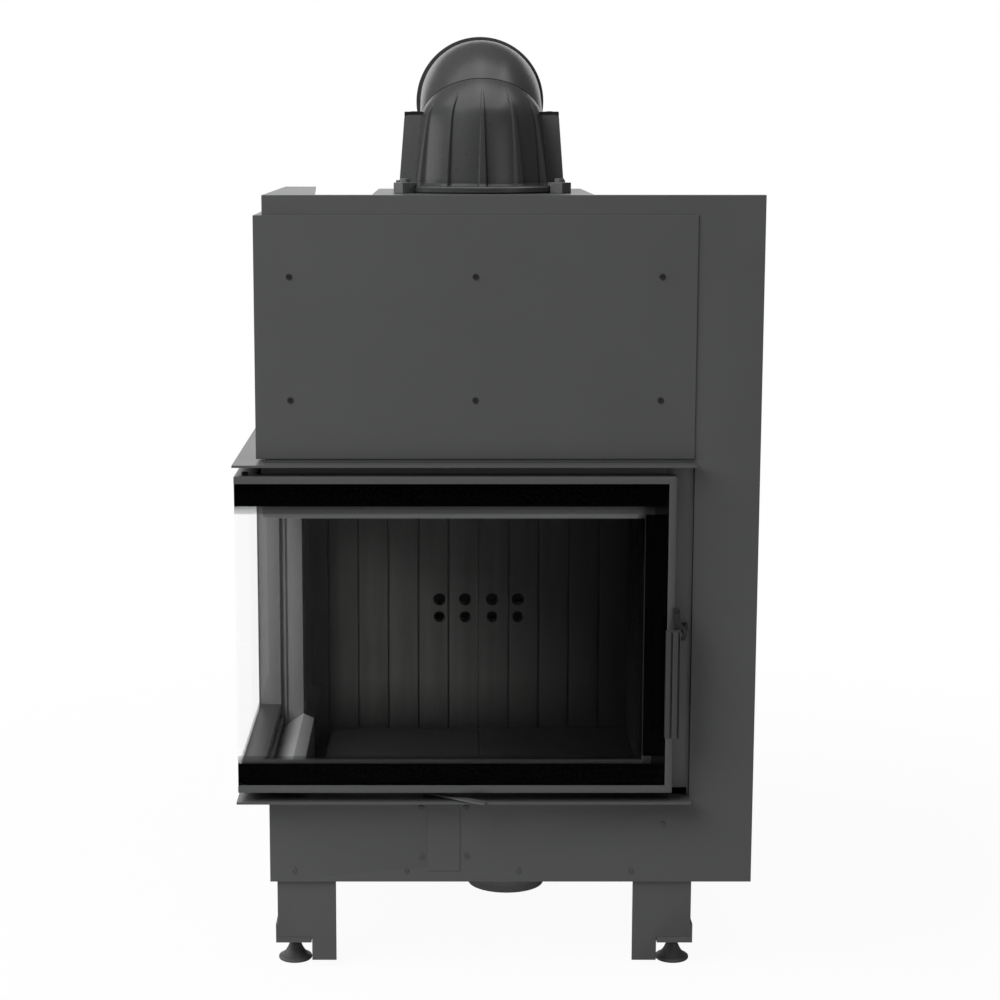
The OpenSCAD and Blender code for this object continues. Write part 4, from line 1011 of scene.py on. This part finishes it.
        def throat(reach, at):
            r = middle - reach * np.cos(at)[:, None]
            y = ring_y - bell + reach * np.sin(at)[:, None]
            return np.stack([centre[0] + r * np.sin(turn), y + 0 * turn,
                             centre[2] + values.bend + r * np.cos(turn)], -1)

        limit = np.arccos((middle - values.collar + values.wall / 2) / (bell + values.wall))
        mouth = throat(bell + values.wall, np.linspace(limit, 0, 10))
        shell = skin_over(np.concatenate(
            [outer, throat(bell, round_at), mouth, inner, outer[:1]]))
        piece("elbow_upper", [shell], "upper_elbow", "cast_iron", nodes=("elbow_outlet",),
              smooth=35.0)

    def collar(self, values, centre, ring_y):
        """Turned collar with a thin dark lip round the bell."""
        bore, out, tip = values.collar - values.wall, values.collar, values.collar_length
        lip = out - 5.6 * MM
        ring = lathe([(bore, 2 * MM), (lip, 2 * MM), (lip, 0.4 * MM), (out - 0.8 * MM, 0.4 * MM),
                      (out, 1.6 * MM), (out, tip - 1.2 * MM), (out - 1.2 * MM, tip),
                      (bore + MM, tip), (bore, tip - MM)],
                     [centre[0], ring_y, centre[2] + values.bend], Y, 160)
        piece("elbow_collar", [ring], "upper_elbow", "cast_iron", smooth=35.0)


# Door


class BuildDoor(bpy.types.Operator):
    """Door frame from mitred rails and stiles, with its glass clips in black sealing strip"""

    bl_idname = "insert.build_door"
    bl_label = "Build door frame"

    def execute(self, context):
        low, high = box_of("door_frame")
        lip, rebate, depth, wide = 10.5 * MM, 10 * MM, 30 * MM, 42 * MM
        groove, rope, seat = 5 * MM, 12 * MM, 15 * MM
        profile = rounded([(0, 0), (lip, 0), (lip, rebate), (wide, rebate), (wide, depth),
                           (seat + rope, depth), (seat + rope, depth - groove),
                           (seat, depth - groove), (seat, depth), (0, depth)], 1.1 * MM, 2)
        inner_lip, bed, fin = 38.2 * MM, 5 * MM, 14 * MM
        deep = rounded([(0, 0), (lip, 0), (lip, bed), (wide, bed), (wide, inner_lip),
                        (wide - fin, inner_lip), (wide - fin, depth), (0, depth)], 0.9 * MM, 2)
        left, right, rear = low, np.array([high[0], *low[1:]]), np.array([low[0], high[1], low[2]])
        seam, rise = 0.15 * MM, Z * (high[2] - low[2])
        level, upright = ((0, 1), (1, 0)), ((1, 0), (1, 0))

        def run(outline, start, end, along, up, inward, cuts):
            return mitred(outline, start + along * seam, end - along * seam, along, up, inward,
                          *cuts)

        rails = [run(profile, left, right, X, Z, Y, level),
                 run(profile, left + rise, right + rise, X, -Z, Y, level),
                 run(profile, left + rise, rear + rise, Y, -Z, X, level),
                 run(profile, right, right + rise, Z, -X, Y, upright)]
        rear_stile = run(deep, rear, rear + rise, Z, -Y, X, upright)
        side_rail = run(deep, left, rear, Y, Z, X, level)
        # The rear stile takes painted light and the side rail painted shade, both copies of the
        # door paint.
        for name, parts, look, nodes in (
                ("door_rails", rails, "door_steel", ("door_frame",)),
                ("door_rear_stile", [rear_stile], "inner_stile", ()),
                ("door_side_rail", [side_rail], "side_rail", ())):
            piece(name, parts, "door", "door_steel", look, nodes=nodes, smooth=25.0)
        bevelled_copy("glass_clips", 0.6 * MM, "glass_print")
        return {"FINISHED"}


def print_strip(start, end, away, band, dots):
    """Corners of a flat strip from start to end, as wide as its band and dots together, and
    their UVs: the distance along the edge and the distance past the solid band."""
    wide, along = band + dots, np.linalg.norm(end - start)
    corners = [start, start + away * wide, end, end + away * wide]
    return corners, [(u, v - band) for u in (0.0, along) for v in (0.0, wide)]


class BuildPanes(bpy.types.Operator):
    """Ceramic glass with black print round its edges that ends in rows of dots"""

    bl_idname = "insert.build_panes"
    bl_label = "Build panes"

    def execute(self, context):
        values = settings("glass")
        dress("front_glass")
        dress("side_glass")
        low, high = box_of("front_glass")
        side_low, side_high = box_of("side_glass")
        inset = 3.9 * MM
        behind, inside = low[1] + inset, side_low[0] + inset
        left, right = (low[0], behind), (high[0], behind)
        front, rear = (inside, behind), (inside, side_high[1])
        runs = []
        for z, away in ((low[2], Z), (high[2], -Z)):
            runs.append((left, z, right, z, away, values.band))
            runs.append((front, z, rear, z, away, values.side_band))
        for foot, away, band in ((right, -X, values.band), (rear, -Y, values.side_band)):
            wide = band + values.dots
            runs.append((foot, low[2] + wide, foot, high[2] - wide, away, band))
        points, uvs = [], []
        for start, start_z, end, end_z, away, band in runs:
            corners, places = print_strip(np.array([*start, start_z]), np.array([*end, end_z]),
                                          away, band, values.dots)
            points += corners
            uvs += places
        faces = [[at, at + 2, at + 3, at + 1] for at in range(0, len(points), 4)]
        piece("pane_print", [(np.array(points), faces)], "door", "glass_print", "print",
              uv=("print", uvs))
        return {"FINISHED"}


class BuildSeal(bpy.types.Operator):
    """Knitted rope seal in the groove round the back of the door"""

    bl_idname = "insert.build_seal"
    bl_label = "Build rope seal"

    def execute(self, context):
        """A rounded square carried round the L-shaped loop: corners are eased by sampling the
        loop at equal steps and averaging neighbours."""
        low, high = box_of("door_seal")
        half, inset, sides = 5.7 * MM, 6 * MM, 12
        yarns_per_metre, yarns_round = 160, 4
        x0, y0, z0 = low + [half, half, inset]
        x1, y1, z1 = high - inset
        ends = np.array([(x1, y0, z0), (x0, y0, z0), (x0, y1, z0), (x0, y1, z1), (x0, y0, z1),
                         (x1, y0, z1), (x1, y0, z0)])
        legs = np.linalg.norm(np.diff(ends, axis=0), axis=1)
        reach = np.concatenate([[0], np.cumsum(legs)])
        at = np.linspace(0, reach[-1], 900, endpoint=False)
        path = np.stack([np.interp(at, reach, ends[:, k]) for k in range(3)], -1)
        for _ in range(3):
            path = (np.roll(path, 1, 0) + path * 2 + np.roll(path, -1, 0)) / 4
        ahead = np.roll(path, -1, 0) - np.roll(path, 1, 0)
        ahead /= np.linalg.norm(ahead, axis=1)[:, None]
        across = np.cross(ahead, np.where(np.abs(ahead[:, 1:2]) > 0.7, -X, -Y))
        across /= np.linalg.norm(across, axis=1)[:, None]
        out = np.cross(across, ahead)
        turn = np.linspace(0, 2 * np.pi, sides, endpoint=False)
        square = half / (np.abs(np.cos(turn)) ** 4 + np.abs(np.sin(turn)) ** 4) ** 0.25
        rings = np.clip(path[:, None] + across[:, None] * (square * np.cos(turn))[None, :, None]
                        + out[:, None] * (square * np.sin(turn))[None, :, None], low, high)
        rings = np.concatenate([rings, rings[:1]])
        rings = np.concatenate([rings, rings[:, :1]], 1)
        along = np.append(at, reach[-1]) * yarns_per_metre
        around = np.linspace(0, yarns_round, sides + 1)
        uvs = np.stack(np.meshgrid(along, around, indexing="ij"), -1).reshape(-1, 2)
        piece("rope_seal", [skin_over(rings, False)], "door", "rope", nodes=("door_seal",),
              smooth=180.0, uv=("weave", uvs))
        return {"FINISHED"}


class BuildHandle(bpy.types.Operator):
    """Grooved grip, hook, bracket and the air lever"""

    bl_idname = "insert.build_handle"
    bl_label = "Build handle and lever"

    def execute(self, context):
        bevelled_copy("handle_grip", 0.8 * MM)
        bevelled_copy("latch_hook", 0.5 * MM, "fasteners")
        bevelled_copy("handle_bracket", 0.5 * MM, "fasteners")
        bevelled_copy("air_lever", 0.6 * MM, "casing")
        return {"FINISHED"}


# Small pieces


def screw_head(centre, radius, high):
    """Domed button head with a round pit, seen from the front. At each share of the radius
    its height is high * sqrt(1 - fall * ((share - pit) / (1 - pit))^2)."""
    pit, depth, fall = 0.5, 0.45, 0.75
    dome = [(radius * share, high * (1 - fall * ((share - pit) / (1 - pit)) ** 2) ** 0.5)
            for share in np.linspace(pit, 1, 7)[::-1]]
    return lathe([(0, 0), (radius, 0), *dome, (radius * pit, high * depth),
                  (0, high * depth)], centre, -Y, 24)


class BuildScrews(bpy.types.Operator):
    """Button-head screws of the upper panel and the casing"""

    bl_idname = "insert.build_screws"
    bl_label = "Build screws"

    def execute(self, context):
        """The corners of the CAD screws less than apart from one of them are one screw's."""
        apart, radius, tall = 12 * MM, 4.5 * MM, 1.6 * MM
        for node, name, look in (("panel_screws", "panel_screw_heads", "fasteners"),
                                 ("casing_screws", "casing_screw_heads", "casing")):
            mesh = frame["nodes"][node].data
            corners = np.empty(len(mesh.vertices) * 3)
            mesh.vertices.foreach_get("co", corners)
            corners = corners.reshape(-1, 3)
            back = corners[:, 1].max()
            parts = []
            while len(corners):
                near = np.hypot(*(corners - corners[0])[:, ::2].T) < apart
                middle = (corners[near].min(0) + corners[near].max(0)) / 2
                parts.append(screw_head((middle[0], back, middle[2]), radius, tall))
                corners = corners[~near]
            piece(name, parts, "insert", "fasteners", look, nodes=(node,), smooth=50.0)
        return {"FINISHED"}


class BuildFeet(bpy.types.Operator):
    """Levelling feet: moulded foot, neck and threaded stem"""

    bl_idname = "insert.build_feet"
    bl_label = "Build feet"

    def execute(self, context):
        moulding = np.multiply([(0, 0), (23.6, 0), (24.6, 0.8), (25, 2), (24.6, 4.2),
                                (23.4, 5.2), (21.5, 5.8), (18.5, 7.6), (14.5, 12), (11.2, 17.5),
                                (9, 23), (8.2, 26.5), (7.4, 27), (0, 27)], MM)
        for name in ("front_left", "front_right", "rear_left", "rear_right"):
            low, high = box_of(name + "_foot")
            centre = [*(low + high)[:2] / 2, 0]
            parts = [lathe(moulding, centre), lathe(self.thread(high[2]), centre, Z, 24)]
            piece(name + "_moulding", parts, "foot_" + name, "foot", nodes=(name + "_foot",),
                  smooth=50.0)
        return {"FINISHED"}

    def thread(self, top):
        """Profile of the stem: a thread of even pitch from the neck up to a blunt point."""
        neck, pitch, root, crest, point = 26.5 * MM, 1.5 * MM, 4.35 * MM, 5 * MM, 3.8 * MM
        plain, taper = 28 * MM, 0.8 * MM
        profile = [(0, neck)]
        for turn in range(int((top - plain) / pitch)):
            z = neck + turn * pitch
            profile += [(root, z), (crest, z + pitch / 2)]
        return [*profile, (root, top - taper), (point, top), (0, top)]


class BuildSpigot(bpy.types.Operator):
    """Outside-air spigot with a rolled bead near its end"""

    bl_idname = "insert.build_spigot"
    bl_label = "Build air spigot"

    def execute(self, context):
        low, high = box_of("intake_spigot")
        r_flange = (high[0] - low[0]) / 2
        centre = [*(low + high)[:2] / 2, low[2]]
        tall = high[2] - low[2]
        out, bore, neck, wall = 60 * MM, 58 * MM, 57.5 * MM, 2 * MM
        seat, swage = tall - 7 * MM, 3 * MM
        profile = [(bore, 0.6 * MM), (bore + 0.6 * MM, 0), (out - 0.8 * MM, 0),
                   (out - 0.3 * MM, MM), (out - 0.8 * MM, 9 * MM), (out - 0.1 * MM, 10.5 * MM),
                   (out, 12 * MM), (out - 0.1 * MM, 13.5 * MM), (out - 0.8 * MM, 15 * MM),
                   (out, 24 * MM), (out, seat - swage), (neck, seat), (neck, tall - wall),
                   (r_flange, tall - wall), (r_flange, tall), (neck - wall, tall),
                   (neck - wall, seat), (bore, seat - swage)]
        # The spigot takes its painted light.
        piece("air_spigot_tube", [lathe(profile, centre, Z, 128)], "insert", "casing", "spigot",
              nodes=("intake_spigot",), smooth=40.0)
        return {"FINISHED"}


# Stage


def by_sight(wires, plain, white, share=1.0):
    """White, by its share, for camera and transmission rays, and plain for the rest."""
    path = wires.add("LightPath").outputs
    seen = wires.math("MAXIMUM", path["Is Camera Ray"], path["Is Transmission Ray"])
    mixed = wires.add("MixShader", {0: wires.math("MULTIPLY", seen, share), 1: plain, 2: white})
    return mixed.outputs[0]


class BuildStage(bpy.types.Operator):
    """Pale floor, soft lamps, white room and the camera at the photograph's place"""

    bl_idname = "insert.build_stage"
    bl_label = "Build stage"

    def execute(self, context):
        values = settings("stage")
        scene = context.scene
        scene.view_settings.view_transform = "Standard"
        self.floor(values)
        self.room(values, scene)
        self.lamps(values, scene)
        self.camera(values, scene)
        return {"FINISHED"}

    def floor(self, values):
        """The floor turns to plain white between near and far from the object."""
        half, near, far = 12.0, 0.7, 2.0
        mesh = bpy.data.meshes.new("floor")
        mesh.from_pydata([(-half, -half, 0), (half, -half, 0), (half, half, 0),
                          (-half, half, 0)], [], [(0, 1, 2, 3)])
        made = bpy.data.objects.new("floor", mesh)
        bpy.context.scene.collection.objects.link(made)
        paint, shader, wires = material("Pale floor", Base_Color=opaque(values.floor_colour),
                                        Roughness=0.9, Specular_IOR_Level=0.1)
        place_at = wires.add("TexCoord").outputs["Object"]
        reach = wires.add("VectorMath", {0: place_at}, operation="LENGTH").outputs["Value"]
        glow = wires.add("Emission", {"Color": (1, 1, 1, 1), "Strength": 1.0})
        seen = by_sight(wires, shader.outputs[0], glow.outputs[0],
                        wires.ramp(reach, near, far, values.floor_white, 1.0))
        wires.give(paint.node_tree.nodes["Material Output"].inputs, {"Surface": seen})
        mesh.materials.append(paint)

    def room(self, values, scene):
        world = bpy.data.worlds.new("White room")
        world.use_nodes = True
        scene.world = world
        wires = Wires(world.node_tree)
        world.node_tree.nodes.clear()
        white, lit = [
            wires.add("Background", {"Color": (1, 1, 1, 1), "Strength": strength}).outputs[0]
            for strength in (1.0, values.sky_strength)]
        wires.add("OutputWorld", {"Surface": by_sight(wires, lit, white)})

    def lamps(self, values, scene):
        """Each lamp: name, place, point that it faces, width, height, share of the power of
        a lamp of one square metre, and whether it shows in reflections."""
        rows = (("fill_left", (-2.2, -1.6, 2.9), (0, 0, 0.9), 3.2, 2.6, 0.55, False),
                ("fill_top", (0.0, -0.6, 3.4), (0, 0, 0.9), 2.4, 2.4, 0.05, False),
                ("card_back", (-0.1, 3.4, 1.4), (0, 0, 1.2), 3.2, 2.2, 0.054, True),
                ("card_left", (-2.9, 0.5, 1.2), (0, 0, 1.2), 2.2, 1.8, 0.055, True),
                ("card_right", (1.8, -2.4, 1.3), (0, 0, 1.2), 1.3, 1.8, 0.045, True),
                ("card_top", (-0.3, -0.3, 3.7), (-0.3, -0.3, 0), 4.4, 2.8, 0.058, True),
                ("strip_middle", (-0.03, -0.2, 3.5), (-0.03, -0.2, 0), 0.35, 2.8, 0.035, True),
                ("strip_right", (1.15, 0.1, 3.5), (1.15, 0.1, 0), 0.35, 2.8, 0.055, True))
        for name, place_at, target, wide, high, share, mirrored in rows:
            data = bpy.data.lights.new(name, "AREA")
            data.shape = "RECTANGLE"
            data.size, data.size_y = wide, high
            data.energy = values.lamp_strength * share * wide * high
            lamp = bpy.data.objects.new(name, data)
            scene.collection.objects.link(lamp)
            lamp.location = place_at
            lamp.visible_glossy = mirrored
            way = np.subtract(target, place_at)
            flat = np.hypot(way[0], way[1])
            lamp.rotation_euler = (np.pi / 2 + np.arctan2(way[2], flat), 0,
                                   np.arctan2(-way[0], way[1]))

    def camera(self, values, scene):
        data = bpy.data.cameras.new("camera")
        data.lens = values.camera_lens
        data.sensor_width = FULL_FRAME
        data.sensor_fit = "HORIZONTAL"
        data.shift_x = values.camera_shift
        data.clip_start, data.clip_end = 0.05, 100.0
        made = bpy.data.objects.new("camera", data)
        scene.collection.objects.link(made)
        made.location = values.camera_place
        made.rotation_euler = (np.pi / 2 - values.camera_pitch, 0, 0)
        scene.camera = made


# Panel and registration


OPERATORS = (BuildStage, BuildCasing, BuildOpening, BuildFirebox, BuildElbow, BuildDoor,
             BuildPanes, BuildSeal, BuildHandle, BuildScrews, BuildFeet, BuildSpigot)


class InsertPanel(bpy.types.Panel):
    """Buttons and sizes for the fireplace insert"""

    bl_idname = "VIEW3D_PT_insert"
    bl_label = "Fireplace insert"
    bl_space_type = "VIEW_3D"
    bl_region_type = "UI"
    bl_category = "Insert"

    def draw(self, context):
        for key, group in SETTINGS.items():
            box = self.layout.box()
            box.label(text=group.__doc__)
            for prop in group.__annotations__:
                box.prop(getattr(context.scene, key), prop)
        for operator in OPERATORS:
            self.layout.operator(operator.bl_idname)


def register():
    for made in (*SETTINGS.values(), *OPERATORS, InsertPanel):
        bpy.utils.register_class(made)
    for key, group in SETTINGS.items():
        setattr(bpy.types.Scene, key, bpy.props.PointerProperty(type=group))


def unregister():
    for key in SETTINGS:
        delattr(bpy.types.Scene, key)
    for made in (InsertPanel, *OPERATORS[::-1], *list(SETTINGS.values())[::-1]):
        bpy.utils.unregister_class(made)


def main():
    register()
    bpy.ops.insert.build_stage()
    bpy.ops.insert.build_casing()
    bpy.ops.insert.build_opening()
    bpy.ops.insert.build_firebox()
    bpy.ops.insert.build_elbow()
    bpy.ops.insert.build_door()
    bpy.ops.insert.build_panes()
    bpy.ops.insert.build_seal()
    bpy.ops.insert.build_handle()
    bpy.ops.insert.build_screws()
    bpy.ops.insert.build_feet()
    bpy.ops.insert.build_spigot()


if __name__ == "__main__":
    main()
